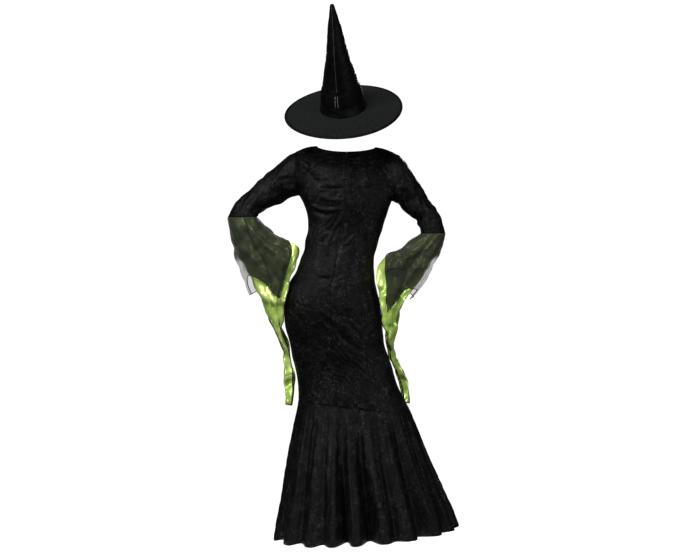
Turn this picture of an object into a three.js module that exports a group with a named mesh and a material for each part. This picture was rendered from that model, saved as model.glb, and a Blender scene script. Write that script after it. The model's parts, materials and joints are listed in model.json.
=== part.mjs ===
import * as THREE from 'three'

// Millimetres, +X the wearer's left, +Y the garment's back, +Z up.
// The origin is between the shoulders, at the height of the shoulder line.

const velvetThickness = 1.5
const satinThickness = 1.2
const netThickness = 1.0
const feltThickness = 2.0
const halfSeam = 0.3
const netClearance = 4.6
const kneeGap = 0.5

const armpitLevel = -188.5
const kneeLevel = -965
const hemLevel = -1440

const dressColumns = 11
const yokeRows = 7
const bodiceRows = 14
const flounceRows = 7
const columnsPerFold = 6
const sleeveColumns = 20
const sleeveRows = 7
const sleeveGap = 1.45
const elbowNumber = 0.034
const cuffColumns = 32
const cuffRows = 8
const tailRows = 7
const netRows = 6
const hatColumns = 32
const brimColumns = 42

// level, centre x, half width, back y, front y, slope of the ring across x
const figureRings = [
  [-188.5, 2, 174, 90, -112, 0.06],
  [-215, -1, 161, 90, -118, 0.05],
  [-255, -2, 148, 84, -118, 0.04],
  [-300, 3, 139, 78, -108, 0.025],
  [-338, 12, 138, 77, -101, 0.01],
  [-375, 21, 135, 80, -98, 0],
  [-420, 33, 138, 90, -102, 0],
  [-469, 42, 148, 105, -110, 0],
  [-514, 54, 165, 117, -114, 0],
  [-562, 55, 178, 125, -116, 0],
  [-611, 50, 182, 126, -114, 0],
  [-675, 45, 182, 119, -110, 0.005],
  [-742, 31, 178, 110, -106, 0.015],
  [-806, 14, 182, 105, -104, 0.03],
  [-870, -3, 188, 106, -106, 0.055],
  [-915, -18, 196, 110, -110, 0.08],
  [-965, -33, 211, 118, -116, 0.107],
]

const flounceRings = [
  [-965, -33, 211, 118, -116, 0.107],
  [-1020, -37, 228, 138, -134, 0.08],
  [-1090, -42, 248, 163, -156, 0.05],
  [-1160, -47, 268, 189, -180, 0.02],
  [-1230, -55, 289, 214, -204, 0],
  [-1300, -63, 308, 238, -226, -0.02],
  [-1370, -70, 330, 260, -248, -0.035],
  [-1440, -75, 348, 280, -268, -0.046],
]

// Angle of each fold's crest, from the wearer's left side over the back, and the groove's depth after it.
const flounceFolds = [
  [8, 22], [34, 26], [55, 24], [70, 74], [84, 80], [100, 36], [117, 62], [139, 46], [157, 34], [174, 30],
  [192, 52], [210, 60], [229, 66], [247, 58], [266, 70], [285, 60], [303, 64], [321, 50], [340, 40],
]
const backFolds = 10
// One wave round the hem, lowest near the wearer's left side.
const hemWave = { height: 10, start: 82 }

const necks = {
  side: [109, -4, 8],
  back: [0, 60, -19],
  front: [0, -84, -92],
}
const neckShare = 0.62

const leftArmhole = { top: [184, -4, -12], pit: [176, 0, -178], back: [186, 72], front: [172, -66] }
const rightArmhole = { top: [-199, -4, -27], pit: [-172, 0, -199], back: [-189, 72], front: [-178, -66] }

// outer x, outer z, inner x, inner z, back y, front y
const leftSleeveRings = [
  [184, -12, 176, -178, 72, -66],
  [221, -36, 188, -181, 72, -60],
  [262, -70, 204, -187, 69, -49],
  [306, -110, 234, -199, 68, -36],
  [350, -148, 277, -219, 72, -22],
  [391, -186, 313, -240, 78, -10],
  [421, -224, 329, -253, 86, -3],
  [440, -263, 330, -261, 92, 0],
]
const rightSleeveRings = [
  [-199, -27, -172, -199, 72, -66],
  [-226, -59, -184, -205, 72, -60],
  [-251, -95, -197, -214, 69, -49],
  [-276, -140, -216, -235, 68, -36],
  [-303, -182, -240, -254, 70, -22],
  [-329, -219, -262, -273, 74, -12],
  [-353, -264, -274, -297, 80, -5],
  [-370, -322, -277, -323, 86, -1],
]
const leftCuffRings = [
  [440, -263, 330, -261, 92, 0],
  [426, -324, 284, -313, 100, -6],
  [404, -387, 228, -347, 104, -12],
  [375, -443, 176, -372, 106, -12],
  [342, -512, 186, -450, 106, 0],
  [313, -568, 218, -534, 104, 18],
  [281, -655, 232, -637, 76, 12],
  [240, -743, 217, -727, 22, -20],
  [232, -815, 203, -808, -2, -38],
  [230, -891, 194, -891, -8, -42],
  [226, -962, 202, -966, -8, -40],
]
const rightCuffRings = [
  [-370, -322, -277, -323, 86, -1],
  [-356, -358, -241, -354, 98, -6],
  [-337, -391, -197, -387, 106, -8],
  [-314, -432, -142, -413, 110, -8],
  [-286, -480, -114, -451, 112, 0],
  [-255, -528, -116, -510, 112, 16],
  [-218, -573, -124, -573, 106, 34],
  [-196, -621, -130, -628, 94, 40],
  [-192, -680, -138, -682, 70, 26],
  [-176, -745, -154, -749, 30, -10],
  [-193, -799, -172, -806, -8, -44],
  [-224, -861, -194, -857, -40, -72],
  [-242, -962, -221, -960, -58, -88],
]
// Angle round the cuff and the ring number where its cloth ends there.
const leftSatinHem = [
  [0, 5], [100, 6.1], [120, 6.4], [150, 6.1], [180, 4.6], [215, 4.2],
  [270, 4.7], [330, 5], [360, 5],
]
const leftNetHem = [
  [0, 4.5], [20, 3.7], [40, 3.5], [75, 4.7], [112, 5.2], [124, 4.4], [135, 3.5],
  [146, 2.8], [158, 2.3], [180, 2], [215, 2.4], [270, 4], [330, 4.3], [360, 4.5],
]
const rightSatinHem = [
  [0, 6.3], [100, 8.0], [120, 8.3], [150, 7.5], [180, 5.1], [215, 4.7],
  [270, 5.6], [330, 6.2], [360, 6.3],
]
const rightNetHem = [
  [0, 5.6], [25, 4.9], [50, 5.0], [80, 6.1], [107, 6.8], [124, 5.3],
  [140, 3.7], [158, 2.8], [180, 2.3], [215, 2.7], [270, 4.6], [330, 5.3], [360, 5.6],
]
const leftCuff = { rings: leftCuffRings, satinHem: leftSatinHem, netHem: leftNetHem, swing: 26, side: 1 }
const rightCuff = { rings: rightCuffRings, satinHem: rightSatinHem, netHem: rightNetHem, swing: 16, side: -1 }
const cuffWaves = { count: 6, depth: 7 }
const tail = { firstColumn: -2, lastColumn: 9, folds: 1.5, depth: 0.75 }

const hat = {
  base: [11, 20, 150],
  backTilt: 33,
  sideTilt: 6.5,
  baseHalfWidth: 84.5,
  baseHalfDepth: 98,
  tipRadius: 8,
  coneHeight: 402,
  tipRounding: 6,
  brimStart: 3.2,
  brimRings: 4,
  brimRadius: 221,
  brimDroop: 15,
  bandLow: 40,
  bandHigh: 84,
  bandThickness: 1.2,
  bandClearance: 0.65,
  bindingWidth: 8,
  bindingThickness: 1.1,
  bindingClearance: 0.35,
}

const zip = {
  hinge: [0, 67.45, -29.5],
  lean: 19.4,
  pullLean: 5,
  tapeHalfWidth: 12,
  tapeThickness: 0.9,
  tapeClearance: 0.35,
  tapeBottomRow: 14,
  tapeAcross: 0.07,
  tapeBelowNeck: 2,
  sliderWidth: 3,
  sliderLength: 9,
  sliderLow: -3.1,
  sliderHigh: -1.3,
  eyeRadius: 1.15,
  bridgeRadius: 2.05,
  pullWidth: 5.8,
  pullLength: 19,
  pullThickness: 1,
  windowWidth: 4,
  windowLength: 3.2,
}

const velvetMaterial = new THREE.MeshStandardMaterial({ color: 0x16171a, roughness: 0.8 })
const satinMaterial = new THREE.MeshStandardMaterial({ color: 0x7fa544, roughness: 0.35 })
const netMaterial = new THREE.MeshStandardMaterial({ color: 0x1c1d1c, roughness: 0.7 })
const feltMaterial = new THREE.MeshStandardMaterial({ color: 0x27292a, roughness: 0.95 })
const bandMaterial = new THREE.MeshStandardMaterial({ color: 0x121314, roughness: 0.4 })
const zipMaterial = new THREE.MeshStandardMaterial({ color: 0x17181a, roughness: 0.5 })

const degree = Math.PI / 180
const mix = (a, b, share) => a + (b - a) * share
const vector = (numbers) => new THREE.Vector3(numbers[0], numbers[1], numbers[2])
const clamp = (value) => Math.min(1, Math.max(0, value))

function smoothStep(value) {
  const share = clamp(value)
  return share * share * (3 - 2 * share)
}

function powered(value, power) {
  return Math.sign(value) * Math.abs(value) ** power
}

// A smooth curve through a table's rows, read at the value of its key column.
function smoothRow(rows, keys, key) {
  let last = 1
  while (last < keys.length - 1 && (key - keys[last]) * (keys[last] - keys[0]) > 0) last += 1
  const first = last - 1
  const span = keys[last] - keys[first]
  const share = (key - keys[first]) / span
  const slope = (index, column) => {
    const before = Math.max(0, index - 1)
    const after = Math.min(rows.length - 1, index + 1)
    return (rows[after][column] - rows[before][column]) / (keys[after] - keys[before])
  }
  return rows[first].map((start, column) => {
    const end = rows[last][column]
    const startSlope = slope(first, column) * span
    const endSlope = slope(last, column) * span
    const square = share * share
    const cube = square * share
    return (2 * cube - 3 * square + 1) * start + (cube - 2 * square + share) * startSlope
      + (3 * square - 2 * cube) * end + (cube - square) * endSlope
  })
}

function ringAt(rings, level) {
  return smoothRow(rings, rings.map((ring) => ring[0]), level)
}

function sectionAt(rings, number) {
  return smoothRow(rings, rings.map((ring, index) => index), number)
}

// A straight line between the rows of a two-column table.
function lineAt(rows, key) {
  let last = 1
  while (last < rows.length - 1 && key > rows[last][0]) last += 1
  const [startKey, start] = rows[last - 1]
  const [endKey, end] = rows[last]
  return mix(start, end, (key - startKey) / (endKey - startKey))
}

// The body rings are wide ovals, a little squarer than an ellipse.
function onRing(rings, angle, level, roundness = 0.88) {
  const [, centre, halfWidth, back, front, slope] = ringAt(rings, level)
  const x = centre + halfWidth * powered(Math.cos(angle), roundness)
  const depth = Math.sin(angle) > 0 ? back : -front
  const y = depth * powered(Math.sin(angle), roundness)
  return new THREE.Vector3(x, y, level + slope * x)
}

function armholePoint(armhole, angle) {
  const top = vector(armhole.top)
  const pit = vector(armhole.pit)
  const point = pit.clone().lerp(top, 0.5 + 0.5 * Math.cos(angle))
  const turn = Math.sin(angle)
  const [sideX, sideY] = turn > 0 ? armhole.back : armhole.front
  const middleX = (armhole.top[0] + armhole.pit[0]) / 2
  point.x += (sideX - middleX) * turn * turn
  point.y += sideY * Math.abs(turn)
  return point
}

function neckPoint(centre, side, share) {
  const turn = share * Math.PI / 2
  const x = side * mix(necks.side[0], necks.side[0] + 1.5, side < 0 ? 1 : 0) * Math.cos(turn)
  const y = mix(necks.side[1], centre[1], Math.sin(turn))
  const z = mix(necks.side[2] - (side < 0 ? 4 : 0), centre[2], Math.sin(turn) ** 1.15)
  return new THREE.Vector3(x, y, z)
}

// The edge of a panel along the shoulder seam and the neckline; 0 is the centre line.
function topEdge(centre, side, share) {
  if (share < neckShare) return neckPoint(centre, side, 1 - share / neckShare)
  const tip = vector(side > 0 ? leftArmhole.top : rightArmhole.top)
  const run = (share - neckShare) / (1 - neckShare)
  const point = neckPoint(centre, side, 0).lerp(tip, run)
  point.z += 5 * Math.sin(run * Math.PI)
  return point
}

function ringAngle(isBack, across) {
  return Math.PI / 2 * (1 - across) * (isBack ? 1 : -1)
}

// across runs from the wearer's right side (-1) to the left side (1) and height from armpit (0) to top (1).
function yokePoint(isBack, across, height) {
  const side = across < 0 ? -1 : 1
  const share = Math.abs(across)
  const centre = isBack ? necks.back : necks.front
  const armhole = side > 0 ? leftArmhole : rightArmhole
  const bottomPoint = (where) => onRing(figureRings, ringAngle(isBack, where), armpitLevel)
  const base = bottomPoint(across).lerp(topEdge(centre, side, share), height)
  const fullness = (isBack ? 10 : -12) * Math.sin(height * Math.PI)
  const armAngle = Math.PI * (1 - height) * (isBack ? 1 : -1)
  const arm = armholePoint(armhole, armAngle)
  const armBase = bottomPoint(side).lerp(vector(armhole.top), height)
  base.add(arm.sub(armBase).multiplyScalar(share ** 3))
  base.y += fullness * (1 - share * share)
  return base
}

// Soft drag creases at the waist and under the hips, and the small gathers over the knee seam.
function dragFolds(angle, level) {
  const waist = Math.exp(-(((level + 350) / 70) ** 2))
  const thigh = Math.exp(-(((level + 800) / 150) ** 2))
  const waistWave = Math.sin(level / 11 + 2.2 * Math.cos(angle)) * (0.6 + 0.4 * Math.cos(2 * angle))
  const thighWave = Math.sin(level / 24 + 3 * Math.cos(angle - 0.5))
  return 1.6 * waist * waistWave + 1.8 * thigh * thighWave
}

function dressPoint(isBack, across, level) {
  const angle = ringAngle(isBack, across)
  const point = onRing(figureRings, angle, level)
  const push = dragFolds(angle, level)
  point.x += push * Math.cos(angle)
  point.y += push * Math.sin(angle)
  return point
}

// rowCount and columnCount are counts of cells; closed joins the last column to the first.
function gridSurface(rowCount, columnCount, pointAt, options = {}) {
  const points = []
  const triangles = []
  const stride = options.closed ? columnCount : columnCount + 1
  for (let row = 0; row <= rowCount; row += 1) {
    for (let column = 0; column < stride; column += 1) points.push(pointAt(row, column))
  }
  for (let row = 0; row < rowCount; row += 1) {
    for (let column = 0; column < columnCount; column += 1) {
      if (options.keep && !options.keep(row, column)) continue
      const next = (column + 1) % stride
      const a = row * stride + column
      const b = a + stride
      const c = (row + 1) * stride + next
      const d = row * stride + next
      triangles.push([a, b, c], [a, c, d])
    }
  }
  if (options.pole) {
    points.push(options.pole)
    const pole = points.length - 1
    for (let column = 0; column < columnCount; column += 1) {
      triangles.push([pole, column, (column + 1) % stride])
    }
  }
  if (options.flip) triangles.forEach((triangle) => triangle.reverse())
  return { points, triangles }
}

function pointNormals(surface) {
  const normals = surface.points.map(() => new THREE.Vector3())
  const plane = new THREE.Triangle()
  for (const corners of surface.triangles) {
    plane.set(...corners.map((corner) => surface.points[corner]))
    const normal = plane.getNormal(new THREE.Vector3()).multiplyScalar(plane.getArea())
    corners.forEach((corner) => normals[corner].add(normal))
  }
  normals.forEach((normal) => normal.normalize())
  return normals
}

// square, if given, turns the normals on a seam so that the two pieces' edges stay parallel there.
function movedOut(surface, distance, square) {
  const normals = pointNormals(surface)
  if (square) normals.forEach((normal, index) => square(normal, index))
  const points = surface.points.map((point, index) => {
    const amount = typeof distance === 'function' ? distance(index) : distance
    return point.clone().addScaledVector(normals[index], amount)
  })
  return { points, triangles: surface.triangles }
}

function closedMesh(name, points, triangles, material) {
  const geometry = new THREE.BufferGeometry()
  const positions = points.flatMap((point) => [point.x, point.y, point.z])
  geometry.setAttribute('position', new THREE.Float32BufferAttribute(positions, 3))
  geometry.setIndex(triangles.flat())
  geometry.computeVertexNormals()
  const mesh = new THREE.Mesh(geometry, material)
  mesh.name = name
  return mesh
}

// A thin wall of cloth: the surface, the same surface moved in, and rims along its open edges.
function clothWall(name, surface, thickness, material, square) {
  const inner = movedOut(surface, -thickness, square)
  const used = new Set(surface.triangles.flat())
  const place = new Map([...used].sort((a, b) => a - b).map((index, order) => [index, order]))
  const count = place.size
  const points = [...place.keys()].map((index) => surface.points[index])
  points.push(...[...place.keys()].map((index) => inner.points[index]))
  const outside = surface.triangles.map((triangle) => triangle.map((index) => place.get(index)))
  const inside = outside.map(([a, b, c]) => [a + count, c + count, b + count])
  const edges = new Map()
  for (const [a, b, c] of outside) {
    for (const [start, end] of [[a, b], [b, c], [c, a]]) edges.set(`${start} ${end}`, [start, end])
  }
  const rims = []
  for (const [start, end] of edges.values()) {
    if (edges.has(`${end} ${start}`)) continue
    rims.push([end, start, start + count], [end, start + count, end + count])
  }
  return closedMesh(name, points, [...outside, ...inside, ...rims], material)
}

// Panel levels from the top edge down: yoke rows, then bodice rows to the knee seam.
function panelPoint(isBack, across, row) {
  if (row <= yokeRows) return yokePoint(isBack, across, 1 - row / yokeRows)
  const share = (row - yokeRows) / bodiceRows
  const level = mix(armpitLevel, kneeLevel, share)
  const point = dressPoint(isBack, across, level)
  if (row === yokeRows + bodiceRows) point.z += kneeGap
  return point
}

// The side and shoulder seams' gaps are opened by moving the edge points off the seam.
function openSeams(point, isBack, across, row) {
  const away = isBack ? 1 : -1
  if (Math.abs(across) > 0.999 && row >= yokeRows) point.y += away * halfSeam * 1.4
  if (row === 0 && Math.abs(across) > neckShare - 0.01) point.y += away * halfSeam
  return point
}

function squareSeams(columns, acrossAt) {
  return (normal, index) => {
    const row = Math.floor(index / (columns + 1))
    const across = Math.abs(acrossAt(index % (columns + 1)))
    if (across > 0.999 && row >= yokeRows) normal.y = 0
    if (row === 0 && across > neckShare - 0.01) normal.y = 0
    if (across < 0.001 && columns === dressColumns) normal.x = 0
    normal.normalize()
  }
}

function backPanel(name, first, last) {
  const acrossAt = (column) => mix(first, last, column / dressColumns)
  const surface = gridSurface(yokeRows + bodiceRows, dressColumns, (row, column) => {
    const across = acrossAt(column)
    const point = openSeams(panelPoint(true, across, row), true, across, row)
    if (Math.abs(across) < 0.001) point.x += (first + last) * halfSeam * 1.2
    return point
  })
  return clothWall(name, surface, velvetThickness, velvetMaterial, squareSeams(dressColumns, acrossAt))
}

function frontPanel() {
  const columns = dressColumns * 2
  const acrossAt = (column) => mix(-1, 1, column / columns)
  const surface = gridSurface(yokeRows + bodiceRows, columns, (row, column) => {
    const across = acrossAt(column)
    return openSeams(panelPoint(false, across, row), false, across, row)
  })
  return clothWall('front_panel', surface, velvetThickness, velvetMaterial, squareSeams(columns, acrossAt))
}

function zipTape() {
  const surface = gridSurface(zip.tapeBottomRow, 2, (row, column) => {
    const point = panelPoint(true, zip.tapeAcross * (1 - column), row)
    const centre = panelPoint(true, 0, row)
    point.x = centre.x + zip.tapeHalfWidth * (1 - column)
    if (row === 0) point.z -= zip.tapeBelowNeck
    return point
  })
  const inside = movedOut(surface, -velvetThickness - zip.tapeClearance)
  return clothWall('zip_tape', inside, zip.tapeThickness, zipMaterial)
}

function sleevePoint(rings, armhole, side, row, column) {
  const angle = column / sleeveColumns * 2 * Math.PI
  if (row === 0) {
    const edge = armholePoint(armhole, angle)
    edge.x += side * sleeveGap
    return edge
  }
  const section = sectionAt(rings, row / sleeveRows * (rings.length - 1))
  const point = ovalPoint(section, angle)
  const gather = 2.5 * Math.sin(row / sleeveRows * Math.PI) * Math.sin(angle * 2 + row * 2.4)
  const centre = ovalCentre(section)
  point.addScaledVector(point.clone().sub(centre).normalize(), gather)
  return point
}

function ovalCentre([outerX, outerZ, innerX, innerZ, back, front]) {
  return new THREE.Vector3((outerX + innerX) / 2, (back + front) / 2, (outerZ + innerZ) / 2)
}

function ovalPoint(section, angle) {
  const [outerX, outerZ, innerX, innerZ, back, front] = section
  const centre = ovalCentre(section)
  const reach = new THREE.Vector3((outerX - innerX) / 2, 0, (outerZ - innerZ) / 2)
  centre.addScaledVector(reach, Math.cos(angle))
  centre.y += (back - front) / 2 * Math.sin(angle)
  return centre
}

function sleeve(name, rings, armhole, side) {
  const pointAt = (row, column) => sleevePoint(rings, armhole, side, row, column)
  const surface = gridSurface(sleeveRows, sleeveColumns, pointAt, { closed: true, flip: side < 0 })
  return clothWall(name, surface, velvetThickness, velvetMaterial)
}

// The bell cuff hangs as an oval with soft waves that grow away from the elbow.
function cuffPoint(cuff, column, number) {
  const angle = column / cuffColumns * 2 * Math.PI
  const section = sectionAt(cuff.rings, number)
  const centre = ovalCentre(section)
  const point = ovalPoint(section, angle)
  const growth = smoothStep(number / 3.5)
  const wave = Math.cos(cuffWaves.count * angle + 0.5 * number) * cuffWaves.depth
  point.addScaledVector(point.clone().sub(centre).normalize(), (wave - cuffWaves.depth * 0.5) * growth)
  return point
}

function hemNumber(hem, column) {
  const turn = ((column / cuffColumns * 360) % 360 + 360) % 360
  return lineAt(hem, turn)
}

// The long tail is the cuff's outer part gathered into a strip folded over itself.
function tailPoint(cuff, column, number) {
  const section = sectionAt(cuff.rings, number)
  const [outerX, outerZ, innerX, innerZ, back, front] = section
  const share = (column - tail.firstColumn) / (tail.lastColumn - tail.firstColumn)
  const fold = Math.cos(tail.folds * 2 * Math.PI * share)
  const point = ovalCentre(section)
  point.x += (outerX - innerX) / 2 * fold
  point.z += (outerZ - innerZ) / 2 * fold
  point.y += (back - front) / 2 * (2 * share - 1) * tail.depth
  return point
}

function satinPoint(cuff, row, column) {
  const turn = column > cuffColumns / 2 + 2 ? column - cuffColumns : column
  const end = hemNumber(cuff.satinHem, column)
  const lastNumber = cuff.rings.length - 1
  let number = row / cuffRows * end
  if (row > cuffRows) number = mix(end, lastNumber, (row - cuffRows) / tailRows)
  if (row === 0) number = elbowNumber
  const point = cuffPoint(cuff, column, number)
  const gathering = smoothStep((number - end + 0.4) / 2.4)
  if (turn >= tail.firstColumn && turn <= tail.lastColumn && gathering > 0) {
    point.lerp(tailPoint(cuff, turn, number), gathering)
  }
  return point
}

function satinCuff(name, cuff) {
  const keep = (row, column) => {
    if (row < cuffRows) return true
    const turn = column > cuffColumns / 2 ? column - cuffColumns : column
    return turn >= tail.firstColumn && turn < tail.lastColumn
  }
  const pointAt = (row, column) => satinPoint(cuff, row, column)
  const options = { closed: true, flip: cuff.side < 0, keep }
  const surface = gridSurface(cuffRows + tailRows, cuffColumns, pointAt, options)
  return clothWall(name, surface, satinThickness, satinMaterial)
}

// The net lies over the satin and swings out past its outer edge.
function netCuff(name, cuff) {
  const numbers = []
  const surface = gridSurface(netRows, cuffColumns, (row, column) => {
    const number = row === 0 ? elbowNumber : row / netRows * hemNumber(cuff.netHem, column)
    numbers.push([number, column / cuffColumns * 2 * Math.PI])
    return cuffPoint(cuff, column, number)
  }, { closed: true, flip: cuff.side < 0 })
  const outside = movedOut(surface, (index) => {
    const [number, angle] = numbers[index]
    const outer = Math.max(0, Math.cos(angle)) ** 3
    const clear = mix(netThickness + 0.5, netClearance + netThickness, smoothStep(number / 1.2))
    return clear + cuff.swing * outer * smoothStep((number - 1) / 3)
  })
  return clothWall(name, outside, netThickness, netMaterial)
}

// Where a step round the flounce lies: its angle, its share of the groove's depth, and that depth.
function foldAt(step) {
  const fold = Math.floor(step / columnsPerFold)
  const phase = (step % columnsPerFold) / columnsPerFold
  const [start, depth] = flounceFolds[fold]
  const isLast = fold === flounceFolds.length - 1
  const end = isLast ? flounceFolds[0][0] + 360 : flounceFolds[fold + 1][0]
  const groove = (0.5 - 0.5 * Math.cos(2 * Math.PI * phase)) ** 1.6
  return { angle: mix(start, end, phase) * degree, groove, depth }
}

function flouncePoint(step, row) {
  const share = row / flounceRows
  const level = mix(kneeLevel - kneeGap, hemLevel, share)
  const { angle, groove, depth } = foldAt(step)
  const point = onRing(flounceRings, angle, level, 0.96)
  const [, centre, halfWidth, back, front] = ringAt(flounceRings, level)
  const inward = groove * depth * mix(0.03, 1, share ** 1.1)
  const outward = new THREE.Vector3(Math.cos(angle) / halfWidth, Math.sin(angle) * 2 / (back - front), 0)
  point.addScaledVector(outward.normalize(), -inward)
  point.z -= hemWave.height * share * Math.sin(angle + hemWave.start * degree) * (1 - groove)
  return row === 0 ? onRing(figureRings, angle, kneeLevel).add(new THREE.Vector3(0, 0, -kneeGap)) : point
}

// The flounce's halves meet at the side seams, in the middle of a groove.
function flounceHalf(name, firstStep, stepCount) {
  const total = flounceFolds.length * columnsPerFold
  const surface = gridSurface(flounceRows, stepCount, (row, column) => {
    const step = (firstStep + column) % total
    const point = flouncePoint(step, row)
    const ahead = flouncePoint((step + 1) % total, row)
    const behind = flouncePoint((step + total - 1) % total, row)
    const along = ahead.sub(behind).normalize()
    if (column === 0) point.addScaledVector(along, halfSeam * 1.5)
    if (column === stepCount) point.addScaledVector(along, -halfSeam * 1.5)
    return point
  })
  return clothWall(name, surface, velvetThickness, velvetMaterial)
}

function hatFrame() {
  const tiltBack = new THREE.Matrix4().makeRotationX(-hat.backTilt * degree)
  const tiltSide = new THREE.Matrix4().makeRotationY(hat.sideTilt * degree)
  const lift = new THREE.Matrix4().makeTranslation(...hat.base)
  return lift.multiply(tiltSide).multiply(tiltBack)
}

function hatDents(angle, height) {
  const share = height / hat.coneHeight
  return 2.2 * Math.sin(2 * angle + height / 45) * Math.sin(Math.PI * clamp(share))
}

function conePoint(angle, height) {
  const share = height / hat.coneHeight
  const dent = hatDents(angle, height)
  const flare = 3 * Math.exp(-height / 12)
  const x = (mix(hat.baseHalfWidth, hat.tipRadius, share) + dent + flare) * Math.cos(angle)
  const y = (mix(hat.baseHalfDepth, hat.tipRadius, share) + dent + flare) * Math.sin(angle)
  return new THREE.Vector3(x, y, height)
}

function hatCone(frame) {
  const heights = [0, 14, 40, 84, 150, 225, 310, 385, 402]
  const rowCount = heights.length - 1
  const pointAt = (row, column) => {
    const height = row === rowCount ? heights[0] + 0.6 : heights[rowCount - row]
    return conePoint(column / hatColumns * 2 * Math.PI, height).applyMatrix4(frame)
  }
  const pole = new THREE.Vector3(0, 0, hat.coneHeight + hat.tipRounding).applyMatrix4(frame)
  const surface = gridSurface(rowCount, hatColumns, pointAt, { closed: true, pole })
  return clothWall('hat_cone', surface, feltThickness, velvetMaterial)
}

function hatBand(frame) {
  const surface = gridSurface(2, hatColumns, (row, column) => {
    const height = mix(hat.bandHigh, hat.bandLow, row / 2)
    return conePoint(column / hatColumns * 2 * Math.PI, height).applyMatrix4(frame)
  }, { closed: true })
  const outside = movedOut(surface, hat.bandClearance + hat.bandThickness)
  return clothWall('hat_band', outside, hat.bandThickness, bandMaterial)
}

function brimSurface(frame) {
  return gridSurface(hat.brimRings, brimColumns, (row, column) => {
    const angle = column / brimColumns * 2 * Math.PI
    const share = row / hat.brimRings
    const width = mix(hat.baseHalfWidth + hat.brimStart, hat.brimRadius, share)
    const depth = mix(hat.baseHalfDepth + hat.brimStart, hat.brimRadius, share)
    const wave = 3 * share * Math.sin(2 * angle + 0.6)
    const drop = -hat.brimDroop * share ** 1.6 + wave
    return new THREE.Vector3(width * Math.cos(angle), depth * Math.sin(angle), drop).applyMatrix4(frame)
  }, { closed: true })
}

// A folded strip sewn over the brim's edge, as a ring with a U-shaped section.
function brimBinding(surface) {
  const columns = brimColumns
  const normals = pointNormals(surface)
  const lastRing = surface.points.length - columns
  const gap = hat.bindingClearance
  const out = gap + hat.bindingThickness
  const under = -feltThickness
  const section = [
    [-hat.bindingWidth, gap], [gap, gap], [gap, under - gap], [-hat.bindingWidth, under - gap],
    [-hat.bindingWidth, under - out], [out * 0.6, under - out], [out, under / 2], [out * 0.6, out],
    [-hat.bindingWidth, out],
  ]
  const points = []
  const triangles = []
  for (let column = 0; column < columns; column += 1) {
    const edge = surface.points[lastRing + column]
    const outward = edge.clone().sub(surface.points[lastRing - columns + column]).normalize()
    const up = normals[lastRing + column]
    for (const [along, above] of section) {
      points.push(edge.clone().addScaledVector(outward, along).addScaledVector(up, above))
    }
  }
  const size = section.length
  for (let column = 0; column < columns; column += 1) {
    const next = (column + 1) % columns
    for (let corner = 0; corner < size; corner += 1) {
      const after = (corner + 1) % size
      const a = column * size + corner
      const b = column * size + after
      const c = next * size + after
      const d = next * size + corner
      triangles.push([a, c, b], [a, d, c])
    }
  }
  return closedMesh('brim_binding', points, triangles, velvetMaterial)
}

function zipFrame() {
  const lean = new THREE.Matrix4().makeRotationX(zip.lean * degree)
  return new THREE.Matrix4().makeTranslation(...zip.hinge).multiply(lean)
}

// Drawn in the plane across the seam: x is outward, y is up the seam, with the hinge at 0, 0.
function zipSlider(frame) {
  const outline = new THREE.Shape()
  const half = zip.sliderLength / 2
  outline.moveTo(zip.sliderLow, -half)
  outline.lineTo(zip.sliderHigh, -half)
  outline.lineTo(zip.sliderHigh, -zip.bridgeRadius)
  outline.absarc(0, 0, zip.bridgeRadius, -Math.PI / 2, Math.PI / 2, false)
  outline.lineTo(zip.sliderHigh, zip.bridgeRadius)
  outline.lineTo(zip.sliderHigh, half)
  outline.lineTo(zip.sliderLow, half)
  outline.closePath()
  const eye = new THREE.Path()
  eye.absarc(0, 0, zip.eyeRadius, 0, Math.PI * 2, true)
  outline.holes.push(eye)
  const extrusion = { depth: zip.sliderWidth, bevelEnabled: false, curveSegments: 10 }
  const geometry = new THREE.ExtrudeGeometry(outline, extrusion)
  geometry.translate(0, 0, -zip.sliderWidth / 2)
  const upright = new THREE.Matrix4().makeBasis(
    new THREE.Vector3(0, 1, 0), new THREE.Vector3(0, 0, 1), new THREE.Vector3(1, 0, 0))
  geometry.applyMatrix4(upright)
  geometry.applyMatrix4(frame)
  const mesh = new THREE.Mesh(geometry, zipMaterial)
  mesh.name = 'zip_slider'
  return mesh
}

// A thin drop-shaped plate whose top bar passes through the slider's bridge.
function zipPull(frame) {
  const outline = new THREE.Shape()
  const half = zip.pullWidth / 2
  const bar = zip.pullThickness / 2
  outline.moveTo(-half, bar)
  outline.lineTo(-half, -zip.pullLength * 0.75)
  outline.quadraticCurveTo(-half, -zip.pullLength, 0, -zip.pullLength)
  outline.quadraticCurveTo(half, -zip.pullLength, half, -zip.pullLength * 0.75)
  outline.lineTo(half, bar)
  outline.closePath()
  const window = new THREE.Path()
  const side = zip.windowWidth / 2
  window.moveTo(-side, -bar)
  window.lineTo(side, -bar)
  window.lineTo(side, -zip.windowLength)
  window.lineTo(-side, -zip.windowLength)
  window.closePath()
  outline.holes.push(window)
  const extrusion = { depth: zip.pullThickness, bevelEnabled: false, curveSegments: 8 }
  const geometry = new THREE.ExtrudeGeometry(outline, extrusion)
  geometry.translate(0, 0, -bar)
  const upright = new THREE.Matrix4().makeBasis(
    new THREE.Vector3(-1, 0, 0), new THREE.Vector3(0, 0, 1), new THREE.Vector3(0, 1, 0))
  geometry.applyMatrix4(upright)
  geometry.applyMatrix4(new THREE.Matrix4().makeRotationX(-zip.pullLean * degree))
  geometry.applyMatrix4(frame)
  const mesh = new THREE.Mesh(geometry, zipMaterial)
  mesh.name = 'zip_pull'
  return mesh
}

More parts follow.
